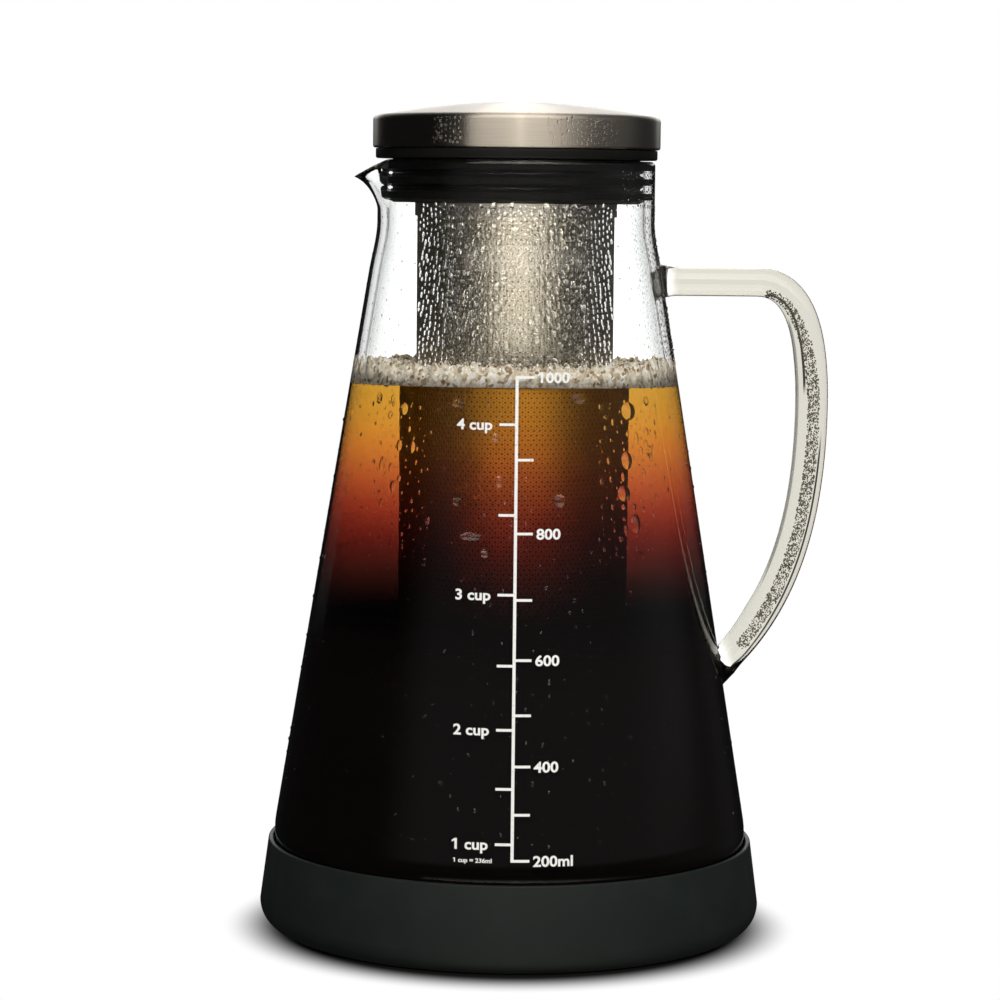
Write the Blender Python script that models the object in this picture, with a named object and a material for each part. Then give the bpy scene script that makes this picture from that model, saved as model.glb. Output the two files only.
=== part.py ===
"""Cold brew coffee maker: a conical glass carafe in a silicone boot, a hanging steel filter and a plug lid.

Metres, +Z up. The origin is the middle of the boot's underside, where the brewer stands. The pouring lip
points along -X and the handle along +X. The carafe lifts out of its boot, the filter out of the carafe's
neck and the lid out of the filter, all along the Z axis.
"""

import math

import bmesh
import bpy
from mathutils import Vector
from mathutils.geometry import interpolate_bezier

# Clearance between two faces that meet on the real object
FIT_GAP = 0.0003

# Facets round a turned piece and along its curves
BODY_STEPS = 60
INNER_STEPS = 40
ROD_STEPS = 12
HEEL_STEPS = 6
SHOULDER_STEPS = 7
BEND_STEPS = 10
GRIP_STEPS = 12
SHARP_ANGLE = math.radians(35)
MERGE_DISTANCE = FIT_GAP / 100

# Glass carafe, heights from its base ring
GLASS_HEIGHT = 0.1871
GLASS_WALL = 0.0022
BASE_RADIUS = 0.0590
BASE_THICKNESS = 0.0032
PUNT_HEIGHT = 0.0012
PUNT_RADIUS_SHARE = 0.9
HEEL_RADIUS = 0.0200
SHOULDER_RADIUS = 0.0389
SHOULDER_HEIGHT = 0.0250
NECK_RADIUS = 0.0343
NECK_HEIGHT = 0.0185

# Pouring lip, pulled out of the rim on the -X side
LIP_REACH = 0.0054
LIP_DROP = 0.0024
LIP_DEPTH = 0.0105
LIP_WIDTH = 0.0270
LIP_CURL = 1.5

# Glass rod handle, heights from the carafe's base ring
ROD_RADIUS = 0.0036
HANDLE_REACH = 0.0745
HANDLE_ARM_HEIGHT = 0.1578
HANDLE_GRIP_HEIGHT = 0.1277
HANDLE_FOOT_HEIGHT = 0.0620
HANDLE_BEND_WIDTH = 0.0145
HANDLE_FOOT_ANGLE = math.radians(43.5)
HANDLE_BEND_PULL_SHARES = (0.72, 0.63)
HANDLE_GRIP_PULL_SHARES = (0.43, 0.34)
WELD_FLARE = 0.0007
WELD_LENGTH = 0.0040
WELD_OVERRUN = 0.0072

# Silicone boot
BOOT_FLOOR = 0.0030
BOOT_HEIGHT = 0.0213
BOOT_LIP_WALL = 0.0012
BOOT_SKIRT_WALL = 0.0033
BOOT_SKIRT_HEIGHT = 0.0056
BOOT_FOOT_INSET = 0.0046
BOOT_EDGE_ROUND = 0.0004
BOOT_INNER_ROUND = 0.0060

# Silicone stopper between the neck and the filter
FLANGE_THICKNESS = 0.0019
FLANGE_OVERHANG = 0.0005
FLANGE_ROUND = 0.0005
STOPPER_DEPTH = 0.0107
STOPPER_WALL = 0.0029
STOPPER_RIB_DEPTH = 0.0012
STOPPER_RIB_WIDTH = 0.0016
STOPPER_RIB_COUNT = 3

# Steel filter
COLLAR_WALL = 0.0005
COLLAR_FLANGE_REACH = 0.0036
COLLAR_DEPTH = 0.0109
COLLAR_STEP = 0.0024
COLLAR_SHOULDER_HEIGHT = 0.0023
COLLAR_SPIGOT_HEIGHT = 0.0035
SCREEN_WALL = 0.0005
CAP_WALL = 0.0005
CAP_HEIGHT = 0.0080
CAP_ROUND = 0.0020
CAP_BEAD = 0.0004
CAP_BEAD_HEIGHT = 0.0012
FILTER_FLOOR_GAP = 0.0143

# Lid
LID_OVERHANG = 0.0012
LID_WALL = 0.0006
LID_SIDE_HEIGHT = 0.0080
LID_CROWN = 0.0033
LID_CROWN_SHARES = (0.8, 0.55, 0.28, 0.0)
LID_EDGE_ROUND = 0.0015
LID_SKIRT_DROP = 0.0004
LID_HEM_HEIGHT = 0.0009
PLUG_CLEARANCE = 0.0010
PLUG_FLOOR_GAP = 0.0010
PLUG_ROUND = 0.0012
SEAL_HEIGHT = 0.0060
SEAL_GROOVE_DEPTH = 0.0012
SEAL_FIN_COUNT = 2

# Sizes that follow from the ones above
CARAFE_SEAT = BOOT_FLOOR + FIT_GAP
NECK_BORE = NECK_RADIUS - GLASS_WALL
STOPPER_RADIUS = NECK_BORE - FIT_GAP - STOPPER_RIB_DEPTH
STOPPER_BORE = STOPPER_RADIUS - STOPPER_WALL
COLLAR_RADIUS = STOPPER_BORE - FIT_GAP
COLLAR_BORE = COLLAR_RADIUS - COLLAR_WALL
SPIGOT_BORE = COLLAR_BORE - COLLAR_STEP
SCREEN_RADIUS = SPIGOT_BORE - FIT_GAP
PLUG_RADIUS = COLLAR_BORE - PLUG_CLEARANCE
LID_RADIUS = NECK_RADIUS + LID_OVERHANG

# Seat heights: the filter's from the carafe's base ring, the lid's from the stopper flange's underside
FILTER_SEAT = GLASS_HEIGHT + FIT_GAP
COLLAR_TOP = FLANGE_THICKNESS + FIT_GAP + COLLAR_WALL
LID_SEAT = COLLAR_TOP + FIT_GAP
CAP_BOTTOM = PUNT_HEIGHT + BASE_THICKNESS + FILTER_FLOOR_GAP - FILTER_SEAT
PLUG_LENGTH = COLLAR_DEPTH + FIT_GAP - PLUG_FLOOR_GAP


def finish(name, color, roughness, metallic=0.0, transmission=0.0):
    """A material of one Principled BSDF."""
    material = bpy.data.materials.new(name)
    material.use_nodes = True
    shader = material.node_tree.nodes["Principled BSDF"]
    shader.inputs["Base Color"].default_value = (*color, 1.0)
    shader.inputs["Roughness"].default_value = roughness
    shader.inputs["Metallic"].default_value = metallic
    shader.inputs["Transmission Weight"].default_value = transmission
    material.diffuse_color = (*color, 1.0 - 0.7 * transmission)
    return material


def add_object(name, bm, material, parent):
    """Turns a bmesh into a smooth-shaded object under its parent."""
    mesh = bpy.data.meshes.new(name)
    bm.to_mesh(mesh)
    bm.free()
    mesh.shade_smooth()
    mesh.set_sharp_from_angle(angle=SHARP_ANGLE)
    mesh.materials.append(material)
    obj = bpy.data.objects.new(name, mesh)
    bpy.context.collection.objects.link(obj)
    obj.parent = parent
    return obj


def add_body(name, height, parent=None):
    """An empty on the sliding axis, at the seat of the pieces that move together."""
    body = bpy.data.objects.new(name, None)
    bpy.context.collection.objects.link(body)
    body.parent = parent
    body.location.z = height
    return body


def arc(center, radius, start, end, steps):
    """Points of an arc in the (radius, height) plane, both ends included. Angles are in radians."""
    angles = [start + (end - start) * step / steps for step in range(steps + 1)]
    return [(center[0] + radius * math.cos(a), center[1] + radius * math.sin(a)) for a in angles]


def rounded(corners, steps=3):
    """An outline through corners (radius, height) or, with a round, (radius, height, round radius)."""
    points = []
    for index, corner in enumerate(corners):
        here = Vector(corner[:2])
        if len(corner) == 2:
            points.append(tuple(here))
            continue
        before = Vector(corners[index - 1][:2]) - here
        after = Vector(corners[(index + 1) % len(corners)][:2]) - here
        half = before.angle(after) / 2
        reach = min(corner[2] / math.tan(half), before.length / 2, after.length / 2)
        center = here + (before.normalized() + after.normalized()).normalized() * (reach / math.cos(half))
        first = here + before.normalized() * reach - center
        turn = first.angle_signed(here + after.normalized() * reach - center)
        start = math.atan2(first.y, first.x)
        points += arc(center, first.length, start, start - turn, steps)
    return points


def turned(name, outline, steps, material, parent):
    """Turns a closed outline of (radius, height) points about Z. Ends on the axis close at their poles."""
    bm = bmesh.new()
    verts = [bm.verts.new((radius, 0.0, height)) for radius, height in outline]
    edges = [bm.edges.new(pair) for pair in zip(verts, verts[1:])]
    if outline[0][0] > 0 or outline[-1][0] > 0:
        edges.append(bm.edges.new((verts[-1], verts[0])))
    bmesh.ops.spin(
        bm,
        geom=verts + edges,
        axis=(0, 0, 1),
        cent=(0, 0, 0),
        angle=math.tau,
        steps=steps,
        use_merge=True,
    )
    bmesh.ops.remove_doubles(bm, verts=bm.verts, dist=MERGE_DISTANCE)
    bmesh.ops.recalc_face_normals(bm, faces=bm.faces)
    return add_object(name, bm, material, parent)


# Boot
def boot_outline():
    """A cup with a flat sole, a swollen skirt and a thin lip that hugs the glass."""
    bore = BASE_RADIUS + FIT_GAP
    lip = bore + BOOT_LIP_WALL
    skirt = bore + BOOT_SKIRT_WALL
    foot = skirt - BOOT_FOOT_INSET
    belly = [
        (foot + BOOT_FOOT_INSET * math.sin(a), BOOT_SKIRT_HEIGHT * (1 - math.cos(a)))
        for a in (step * math.pi / 10 for step in range(1, 6))
    ]
    cup = rounded(
        [
            belly[-1],
            (lip, BOOT_HEIGHT, BOOT_EDGE_ROUND),
            (bore, BOOT_HEIGHT, BOOT_EDGE_ROUND),
            (bore, BOOT_FLOOR, BOOT_INNER_ROUND),
            (0.0, BOOT_FLOOR),
        ],
        steps=2,
    )
    return [(0.0, 0.0), (foot, 0.0)] + belly[:-1] + cup


# Carafe
def heel_angle():
    """How far the heel's arc turns past the level before the cone leaves it."""
    reach = SHOULDER_RADIUS - (BASE_RADIUS - HEEL_RADIUS)
    rise = shoulder_start() - HEEL_RADIUS
    return math.atan2(rise, reach) - math.acos(HEEL_RADIUS / math.hypot(reach, rise))


def shoulder_start():
    """Height where the straight cone ends."""
    return GLASS_HEIGHT - NECK_HEIGHT - SHOULDER_HEIGHT


def side_outline(inset):
    """The carafe's side from heel to neck, moved inwards along its own normals by inset."""
    tilt = heel_angle()
    center = (BASE_RADIUS - HEEL_RADIUS, HEEL_RADIUS)
    points = arc(center, HEEL_RADIUS - inset, -math.pi / 2, 0.0, HEEL_STEPS)
    points += arc(center, HEEL_RADIUS - inset, 0.0, tilt, 1)[1:]
    low = Vector((SHOULDER_RADIUS, shoulder_start()))
    high = Vector((NECK_RADIUS, GLASS_HEIGHT - NECK_HEIGHT))
    pull = SHOULDER_HEIGHT / 3
    low_pull = low + Vector((-math.sin(tilt), math.cos(tilt))) * pull
    curve = interpolate_bezier(low, low_pull, high - Vector((0.0, pull)), high, SHOULDER_STEPS)
    for index, point in enumerate(curve):
        along = curve[min(index + 1, len(curve) - 1)] - curve[max(index - 1, 0)]
        inward = Vector((-along.y, along.x)).normalized()
        points.append(tuple(point + inward * inset))
    return points


def glass_radius(height):
    """Outer radius of the carafe at a height above its base ring."""
    side = side_outline(0.0) + [(NECK_RADIUS, GLASS_HEIGHT)]
    for (r0, z0), (r1, z1) in zip(side, side[1:]):
        if z0 <= height <= z1:
            return r0 + (r1 - r0) * (height - z0) / (z1 - z0)
    return NECK_RADIUS


def glass_outline():
    """Punt, base ring, heel, cone, shoulder, neck and fire-polished rim, then the inside back down."""
    flat = BASE_RADIUS - HEEL_RADIUS
    neck_low = GLASS_HEIGHT - LIP_DEPTH
    neck_mid = GLASS_HEIGHT - LIP_DEPTH / 2
    rim_center = (NECK_RADIUS - GLASS_WALL / 2, GLASS_HEIGHT - GLASS_WALL / 2)
    outside = [(0.0, PUNT_HEIGHT), (flat * PUNT_RADIUS_SHARE, 0.0)] + side_outline(0.0)
    outside += [(NECK_RADIUS, neck_low), (NECK_RADIUS, neck_mid)]
    rim = arc(rim_center, GLASS_WALL / 2, 0.0, math.pi, 4)
    inside = [(NECK_BORE, neck_mid), (NECK_BORE, neck_low)] + side_outline(GLASS_WALL)[::-1]
    return outside + rim + inside + [(0.0, PUNT_HEIGHT + BASE_THICKNESS)]


def pull_lip(mesh):
    """Draws the hot rim out and down into a pouring lip, as a glassworker's tool does."""
    half_angle = LIP_WIDTH / 2 / NECK_RADIUS
    for vertex in mesh.vertices:
        x, y, z = vertex.co
        rise = (z - (GLASS_HEIGHT - LIP_DEPTH)) / LIP_DEPTH
        aside = abs(math.atan2(y, -x)) / half_angle
        if rise <= 0 or aside >= 1:
            continue
        share = rise**LIP_CURL * math.cos(aside * math.pi / 2) ** 2
        outward = Vector((x, y, 0.0)).normalized()
        vertex.co += outward * LIP_REACH * share - Vector((0.0, 0.0, LIP_DROP)) * share * rise


def handle_path():
    """Centre line of the bent rod: a level arm, the bend, the bowed grip and the slanting foot."""
    bend_start = HANDLE_REACH - HANDLE_BEND_WIDTH
    foot_radius = glass_radius(HANDLE_FOOT_HEIGHT)
    bend_height = HANDLE_ARM_HEIGHT - HANDLE_GRIP_HEIGHT
    grip_height = HANDLE_GRIP_HEIGHT - HANDLE_FOOT_HEIGHT
    arm = Vector((glass_radius(HANDLE_ARM_HEIGHT), 0.0, HANDLE_ARM_HEIGHT))
    bend = Vector((bend_start, 0.0, HANDLE_ARM_HEIGHT))
    grip = Vector((HANDLE_REACH, 0.0, HANDLE_GRIP_HEIGHT))
    foot = Vector((foot_radius, 0.0, HANDLE_FOOT_HEIGHT))
    outward = Vector((1.0, 0.0, 0.0))
    upward = Vector((0.0, 0.0, 1.0))
    along_foot = Vector((math.cos(HANDLE_FOOT_ANGLE), 0.0, math.sin(HANDLE_FOOT_ANGLE)))
    bend_pulls = (
        bend + outward * HANDLE_BEND_WIDTH * HANDLE_BEND_PULL_SHARES[0],
        grip + upward * bend_height * HANDLE_BEND_PULL_SHARES[1],
    )
    grip_pulls = (
        grip - upward * grip_height * HANDLE_GRIP_PULL_SHARES[0],
        foot + along_foot * grip_height * HANDLE_GRIP_PULL_SHARES[1],
    )
    top = [arm - outward * WELD_OVERRUN, arm + outward * WELD_LENGTH / 3, arm + outward * WELD_LENGTH]
    top += interpolate_bezier(bend, *bend_pulls, grip, BEND_STEPS)
    low = interpolate_bezier(grip, *grip_pulls, foot, GRIP_STEPS)[1:-1]
    return top + low + [foot + along_foot * WELD_LENGTH / 3, foot - along_foot * WELD_OVERRUN]


def rod_radius(point):
    """The rod's radius, which swells into the weld just off the glass."""
    off_glass = point.x - glass_radius(point.z)
    share = min(max(1 - off_glass / WELD_LENGTH, 0.0), 1.0)
    return ROD_RADIUS + WELD_FLARE * share**2


def bent_rod(name, material, parent):
    """Sweeps a circle along the handle's path, which lies in the XZ plane."""
    path = handle_path()
    across = Vector((0.0, 1.0, 0.0))
    bm = bmesh.new()
    rings = []
    for index, point in enumerate(path):
        along = path[min(index + 1, len(path) - 1)] - path[max(index - 1, 0)]
        normal = along.normalized().cross(across)
        radius = rod_radius(point)
        angles = [math.tau * step / ROD_STEPS for step in range(ROD_STEPS)]
        offsets = [normal * math.cos(a) + across * math.sin(a) for a in angles]
        rings.append([bm.verts.new(point + offset * radius) for offset in offsets])
    for first, second in zip(rings, rings[1:]):
        for step in range(ROD_STEPS):
            following = (step + 1) % ROD_STEPS
            bm.faces.new((first[step], first[following], second[following], second[step]))
    bm.faces.new(rings[0])
    bm.faces.new(rings[-1])
    bmesh.ops.recalc_face_normals(bm, faces=bm.faces)
    return add_object(name, bm, material, parent)


def cut_to_glass(rod, parent):
    """Cuts the rod's two ends to the carafe's outside, a fit gap off it."""
    side = side_outline(-FIT_GAP)
    outline = [(0.0, side[0][1])] + side
    outline += [(NECK_RADIUS + FIT_GAP, GLASS_HEIGHT), (0.0, GLASS_HEIGHT)]
    cutter = turned("weld_cutter", outline, BODY_STEPS, rod.data.materials[0], parent)
    cutter.hide_render = True
    cutter.display_type = "WIRE"
    cut = rod.modifiers.new("weld_face", "BOOLEAN")
    cut.operation = "DIFFERENCE"
    cut.solver = "EXACT"
    cut.object = cutter


# Filter
def ribs(radius, depth, width, count, low, high):
    """Corners of sealing ribs on an outer side, evenly spread from low to high."""
    pitch = (high - low) / count
    corners = []
    for index in range(count):
        middle = low + pitch * (index + 0.5)
        corners += [(radius, middle - width / 2), (radius + depth, middle), (radius, middle + width / 2)]
    return corners


def stopper_outline():
    """A ring that seals the neck with its ribs and hangs from a flange on the rim."""
    flange = NECK_RADIUS + FLANGE_OVERHANG
    return (
        [(STOPPER_BORE, -STOPPER_DEPTH), (STOPPER_RADIUS, -STOPPER_DEPTH)]
        + ribs(STOPPER_RADIUS, STOPPER_RIB_DEPTH, STOPPER_RIB_WIDTH, STOPPER_RIB_COUNT, -STOPPER_DEPTH, 0.0)
        + rounded(
            [
                (STOPPER_RADIUS, 0.0),
                (flange, 0.0, FLANGE_ROUND),
                (flange, FLANGE_THICKNESS, FLANGE_ROUND),
                (STOPPER_BORE, FLANGE_THICKNESS),
            ],
            steps=2,
        )
    )


def collar_outline():
    """A flange on the stopper, a sleeve, a tapered shoulder and the spigot that holds the screen."""
    flange = COLLAR_BORE + COLLAR_FLANGE_REACH
    under = COLLAR_TOP - COLLAR_WALL
    shoulder = COLLAR_TOP - COLLAR_DEPTH
    spigot = shoulder - COLLAR_SHOULDER_HEIGHT
    end = spigot - COLLAR_SPIGOT_HEIGHT
    return [
        (SPIGOT_BORE, end),
        (SPIGOT_BORE + COLLAR_WALL, end),
        (SPIGOT_BORE + COLLAR_WALL, spigot),
        (COLLAR_RADIUS, shoulder),
        (COLLAR_RADIUS, under),
        (flange, under),
        (flange, COLLAR_TOP),
        (COLLAR_BORE, COLLAR_TOP),
        (COLLAR_BORE, shoulder),
        (SPIGOT_BORE, spigot),
    ]


def screen_outline():
    """The plain tube that the perforations go through, from the cap's floor to the collar's shoulder."""
    top = COLLAR_TOP - COLLAR_DEPTH - COLLAR_SHOULDER_HEIGHT - FIT_GAP
    bottom = CAP_BOTTOM + CAP_WALL + FIT_GAP
    inner = SCREEN_RADIUS - SCREEN_WALL
    return [(inner, bottom), (SCREEN_RADIUS, bottom), (SCREEN_RADIUS, top), (inner, top)]


def cap_outline():
    """A pressed cup round the screen's lower end, with a small bead at its mouth."""
    inner = SCREEN_RADIUS + FIT_GAP
    outer = inner + CAP_WALL
    top = CAP_BOTTOM + CAP_HEIGHT
    cup = rounded(
        [
            (0.0, CAP_BOTTOM),
            (outer, CAP_BOTTOM, CAP_ROUND),
            (outer, top - CAP_BEAD_HEIGHT),
        ]
    )
    bead = [(outer + CAP_BEAD, top - CAP_BEAD_HEIGHT / 2), (outer, top)]
    return cup + bead + [(inner, top), (inner, CAP_BOTTOM + CAP_WALL), (0.0, CAP_BOTTOM + CAP_WALL)]


# Lid
def dome(radius, drop):
    """Height of the lid's crown at a radius, less a drop, above the lid's seat."""
    sphere = (LID_RADIUS**2 + LID_CROWN**2) / (2 * LID_CROWN)
    top = LID_SIDE_HEIGHT - LID_SKIRT_DROP + LID_CROWN
    return top - (sphere - math.sqrt(sphere**2 - radius**2)) - drop


def shell_outline():
    """A drawn cap with a crowned top, a rounded edge and its lower edge rolled in as a hem."""
    inner = LID_RADIUS - LID_WALL
    hem = inner - LID_WALL
    low = -LID_SKIRT_DROP
    crown = [(LID_RADIUS * share, dome(LID_RADIUS * share, 0.0)) for share in LID_CROWN_SHARES]
    under = [(inner * share, dome(inner * share, LID_WALL)) for share in LID_CROWN_SHARES[::-1]]
    outside = rounded(
        [
            (hem, low + LID_HEM_HEIGHT),
            (hem, low, LID_WALL),
            (LID_RADIUS, low, LID_WALL),
            (LID_RADIUS, dome(LID_RADIUS, 0.0), LID_EDGE_ROUND),
            crown[0],
        ],
        steps=2,
    )
    inside = rounded(
        [
            under[-1],
            (inner, dome(inner, LID_WALL), LID_EDGE_ROUND - LID_WALL),
            (inner, low + LID_HEM_HEIGHT),
        ],
        steps=1,
    )
    return outside + crown[1:] + under[:-1] + inside


def core_outline():
    """The moulded insert: a disc bonded under the crown and a plug with a groove for the seal."""
    disc = LID_RADIUS - 2 * LID_WALL - FIT_GAP
    groove = PLUG_RADIUS - SEAL_GROOVE_DEPTH
    half = SEAL_HEIGHT / 2 + FIT_GAP
    middle = -PLUG_LENGTH / 2
    radii = [disc * share for share in (1.0, *LID_CROWN_SHARES)]
    crown = [(radius, dome(radius, LID_WALL + FIT_GAP)) for radius in radii]
    low_edge = (PLUG_RADIUS, -PLUG_LENGTH, PLUG_ROUND)
    plug = rounded([(0.0, -PLUG_LENGTH), low_edge, (PLUG_RADIUS, middle - half)])
    grooved = [(groove, middle - half), (groove, middle + half), (PLUG_RADIUS, middle + half)]
    return plug + grooved + [(PLUG_RADIUS, 0.0), (disc, 0.0)] + crown


def seal_outline():
    """A silicone ring in the plug's groove, with fins that seal against the collar."""
    groove = PLUG_RADIUS - SEAL_GROOVE_DEPTH + FIT_GAP
    low = -PLUG_LENGTH / 2 - SEAL_HEIGHT / 2
    high = low + SEAL_HEIGHT
    depth = PLUG_CLEARANCE - FIT_GAP
    fins = ribs(PLUG_RADIUS, depth, SEAL_HEIGHT / SEAL_FIN_COUNT / 2, SEAL_FIN_COUNT, low, high)
    return [(groove, low), (PLUG_RADIUS, low)] + fins + [(PLUG_RADIUS, high), (groove, high)]


def build():
    for obj in list(bpy.data.objects):
        bpy.data.objects.remove(obj, do_unlink=True)

    # Finishes, as the photographed object shows them
    silicone = finish("boot_silicone", (0.016, 0.020, 0.019), 0.62)
    clear_glass = finish("carafe_clear_glass", (0.97, 0.99, 0.98), 0.02, transmission=1.0)
    rod_glass = finish("handle_clear_glass", (0.97, 0.99, 0.98), 0.02, transmission=1.0)
    stopper_silicone = finish("stopper_black_silicone", (0.010, 0.010, 0.010), 0.50)
    collar_steel = finish("collar_steel", (0.55, 0.53, 0.49), 0.30, metallic=1.0)
    screen_steel = finish("screen_steel", (0.42, 0.40, 0.36), 0.38, metallic=1.0)
    cap_steel = finish("cap_steel", (0.50, 0.48, 0.44), 0.32, metallic=1.0)
    lid_steel = finish("lid_brushed_steel", (0.58, 0.56, 0.52), 0.33, metallic=1.0)
    core_plastic = finish("plug_plastic", (0.020, 0.020, 0.020), 0.45)
    seal_silicone = finish("seal_silicone", (0.014, 0.014, 0.014), 0.55)

    # Bodies, each at its seat on the one below
    carafe = add_body("carafe_axis", CARAFE_SEAT)
    sieve = add_body("filter_axis", FILTER_SEAT, carafe)
    lid = add_body("lid_axis", LID_SEAT, sieve)

    turned("base_boot", boot_outline(), BODY_STEPS, silicone, None)
    glass = turned("carafe_glass", glass_outline(), BODY_STEPS, clear_glass, carafe)
    pull_lip(glass.data)
    rod = bent_rod("carafe_handle", rod_glass, carafe)
    cut_to_glass(rod, carafe)
    turned("neck_stopper", stopper_outline(), INNER_STEPS, stopper_silicone, sieve)
    turned("filter_collar", collar_outline(), INNER_STEPS, collar_steel, sieve)
    turned("filter_screen", screen_outline(), INNER_STEPS, screen_steel, sieve)
    turned("filter_end_cap", cap_outline(), INNER_STEPS, cap_steel, sieve)
    turned("lid_shell", shell_outline(), BODY_STEPS, lid_steel, lid)
    turned("lid_core", core_outline(), INNER_STEPS, core_plastic, lid)
    turned("lid_seal", seal_outline(), INNER_STEPS, seal_silicone, lid)
    bpy.context.view_layer.update()


build()
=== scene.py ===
# %% [markdown]
# # Dressing a cold brew maker
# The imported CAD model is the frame: a conical glass carafe in a silicone boot, a steel filter that hangs
# from a silicone stopper, and a plug lid. This script gives it the looks that solids alone can't hold:
# fused glass, coffee that darkens downwards, froth, condensation, a printed scale and real finishes.
# Everything is in metres and in the frame's own coordinates, so each piece is built where it belongs.

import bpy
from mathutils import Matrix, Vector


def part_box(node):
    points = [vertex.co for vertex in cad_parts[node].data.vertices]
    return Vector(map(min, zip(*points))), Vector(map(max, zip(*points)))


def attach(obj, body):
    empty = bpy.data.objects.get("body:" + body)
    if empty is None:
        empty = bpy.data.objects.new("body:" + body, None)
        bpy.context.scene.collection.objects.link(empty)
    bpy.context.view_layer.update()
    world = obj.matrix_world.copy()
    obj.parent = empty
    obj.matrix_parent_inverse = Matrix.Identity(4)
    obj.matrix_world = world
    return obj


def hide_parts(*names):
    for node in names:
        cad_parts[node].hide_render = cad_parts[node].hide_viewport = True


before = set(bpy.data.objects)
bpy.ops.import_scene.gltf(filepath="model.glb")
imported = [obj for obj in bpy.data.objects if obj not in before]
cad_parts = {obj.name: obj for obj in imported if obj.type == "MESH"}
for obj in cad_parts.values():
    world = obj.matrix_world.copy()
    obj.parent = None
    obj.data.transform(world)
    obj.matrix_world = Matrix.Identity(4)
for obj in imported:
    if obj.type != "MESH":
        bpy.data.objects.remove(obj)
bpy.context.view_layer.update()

# %% Modules and units
import math

import bmesh
import bpy
import numpy as np
from mathutils import Matrix, Vector, noise
from mathutils.geometry import interpolate_bezier

MM = 0.001
GAP = 0.3 * MM

# %% [markdown]
# ## The camera
# A long lens from 0.8 m, a little above the coffee's level, looking slightly down. The picture shows the
# brewer a touch right of the middle and leaning by half a degree, so the camera is turned and rolled by
# that much instead of being shifted.

# %% Camera
CAMERA_DISTANCE = 0.803
CAMERA_HEIGHT = 0.1844
LENS = 116.3
SENSOR = 36.0
PITCH_DOWN = math.radians(5.57)
YAW_LEFT = math.radians(0.23)
ROLL = math.radians(0.6)

camera = bpy.data.objects.new("camera", bpy.data.cameras.new("camera"))
bpy.context.collection.objects.link(camera)
camera.data.lens = LENS
camera.data.sensor_width = SENSOR
camera.data.clip_start = 0.01
turn = Matrix.Rotation(YAW_LEFT, 4, "Z") @ Matrix.Rotation(math.pi / 2 - PITCH_DOWN, 4, "X")
camera.matrix_world = (
    Matrix.Translation((0.0, -CAMERA_DISTANCE, CAMERA_HEIGHT)) @ turn @ Matrix.Rotation(ROLL, 4, "Z")
)
bpy.context.scene.camera = camera
print("camera", tuple(round(value, 3) for value in camera.matrix_world.translation))

# %% [markdown]
# ## Wiring nodes in Python
# Materials, the world and the Geometry Nodes trees are all node trees. A `Wire` is one output socket, and
# arithmetic on it adds the Math nodes that work it out. A `Board` adds every other kind of node from its
# type, its settings and the values of its sockets, so that each tree reads as a few lines of sums.


# %% Wires and boards
class Wire:
    """One output socket. Arithmetic on it adds Math nodes to its board."""

    def __init__(self, board, socket):
        self.board = board
        self.socket = socket

    def math(self, operation, *others):
        """A Math node of this wire and any others."""
        values = dict(enumerate((self, *others)))
        return self.board.node("ShaderNodeMath", {"operation": operation}, values)

    def __add__(self, other):
        return self.math("ADD", other)

    __radd__ = __add__

    def __sub__(self, other):
        return self.math("SUBTRACT", other)

    def __rsub__(self, other):
        return self.board.node("ShaderNodeMath", {"operation": "SUBTRACT"}, {0: other, 1: self})

    def __mul__(self, other):
        return self.math("MULTIPLY", other)

    def __truediv__(self, other):
        return self.math("DIVIDE", other)

    def __pow__(self, other):
        return self.math("POWER", other)

    def __gt__(self, other):
        return self.math("GREATER_THAN", other)

    def __lt__(self, other):
        return self.math("LESS_THAN", other)


class Board:
    """A node tree that is being wired."""

    def __init__(self, tree):
        self.tree = tree

    def node(self, kind, settings=None, values=None, out=0):
        """Adds a node, with its settings first and then its sockets, and returns one output or several."""
        node = self.tree.nodes.new(kind)
        for name, setting in (settings or {}).items():
            if name == "stops":
                set_stops(node.color_ramp, setting)
            else:
                setattr(node, name, setting)
        for name, value in (values or {}).items():
            socket = find_socket(node.inputs, name)
            if isinstance(value, Wire):
                self.tree.links.new(value.socket, socket)
            else:
                socket.default_value = value
        if isinstance(out, tuple):
            return [Wire(self, find_socket(node.outputs, one)) for one in out]
        return Wire(self, find_socket(node.outputs, out)) if len(node.outputs) else node

    def smooth(self, value, low, high):
        """0 below low, 1 above high and an S curve between them."""
        return self.node(
            "ShaderNodeMapRange",
            {"interpolation_type": "SMOOTHSTEP"},
            {"Value": value, "From Min": low, "From Max": high},
        )

    def within(self, value, low, high, soft):
        """1 between low and high, with soft edges inside them."""
        return self.smooth(value, low, low + soft) * (1 - self.smooth(value, high - soft, high))

    def blend(self, share, first, second):
        """A colour that goes from first to second with share."""
        settings = {"data_type": "RGBA"}
        return self.node("ShaderNodeMix", settings, {"Factor": share, "A": first, "B": second}, out="Result")

    def grey(self, level):
        """A grey of this brightness."""
        return self.node("ShaderNodeCombineColor", None, {index: level for index in range(3)})

    def added(self, first, second):
        """The sum of two colours."""
        return self.node("ShaderNodeVectorMath", {"operation": "ADD"}, {0: first, 1: second})

    def scaled(self, color, level):
        """A colour times a brightness."""
        return self.node("ShaderNodeVectorMath", {"operation": "SCALE"}, {"Vector": color, "Scale": level})


def find_socket(sockets, name):
    """The socket of this number or name that the node's settings leave in use."""
    if isinstance(name, int):
        return sockets[name]
    return next(socket for socket in sockets if socket.name == name and socket.enabled)


def set_stops(ramp, stops):
    """Sets a colour ramp's stops from (position, colour) pairs."""
    for index, (position, color) in enumerate(stops):
        stop = ramp.elements[index] if index < 2 else ramp.elements.new(position)
        stop.position = position
        stop.color = (*color, 1.0)


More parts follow.
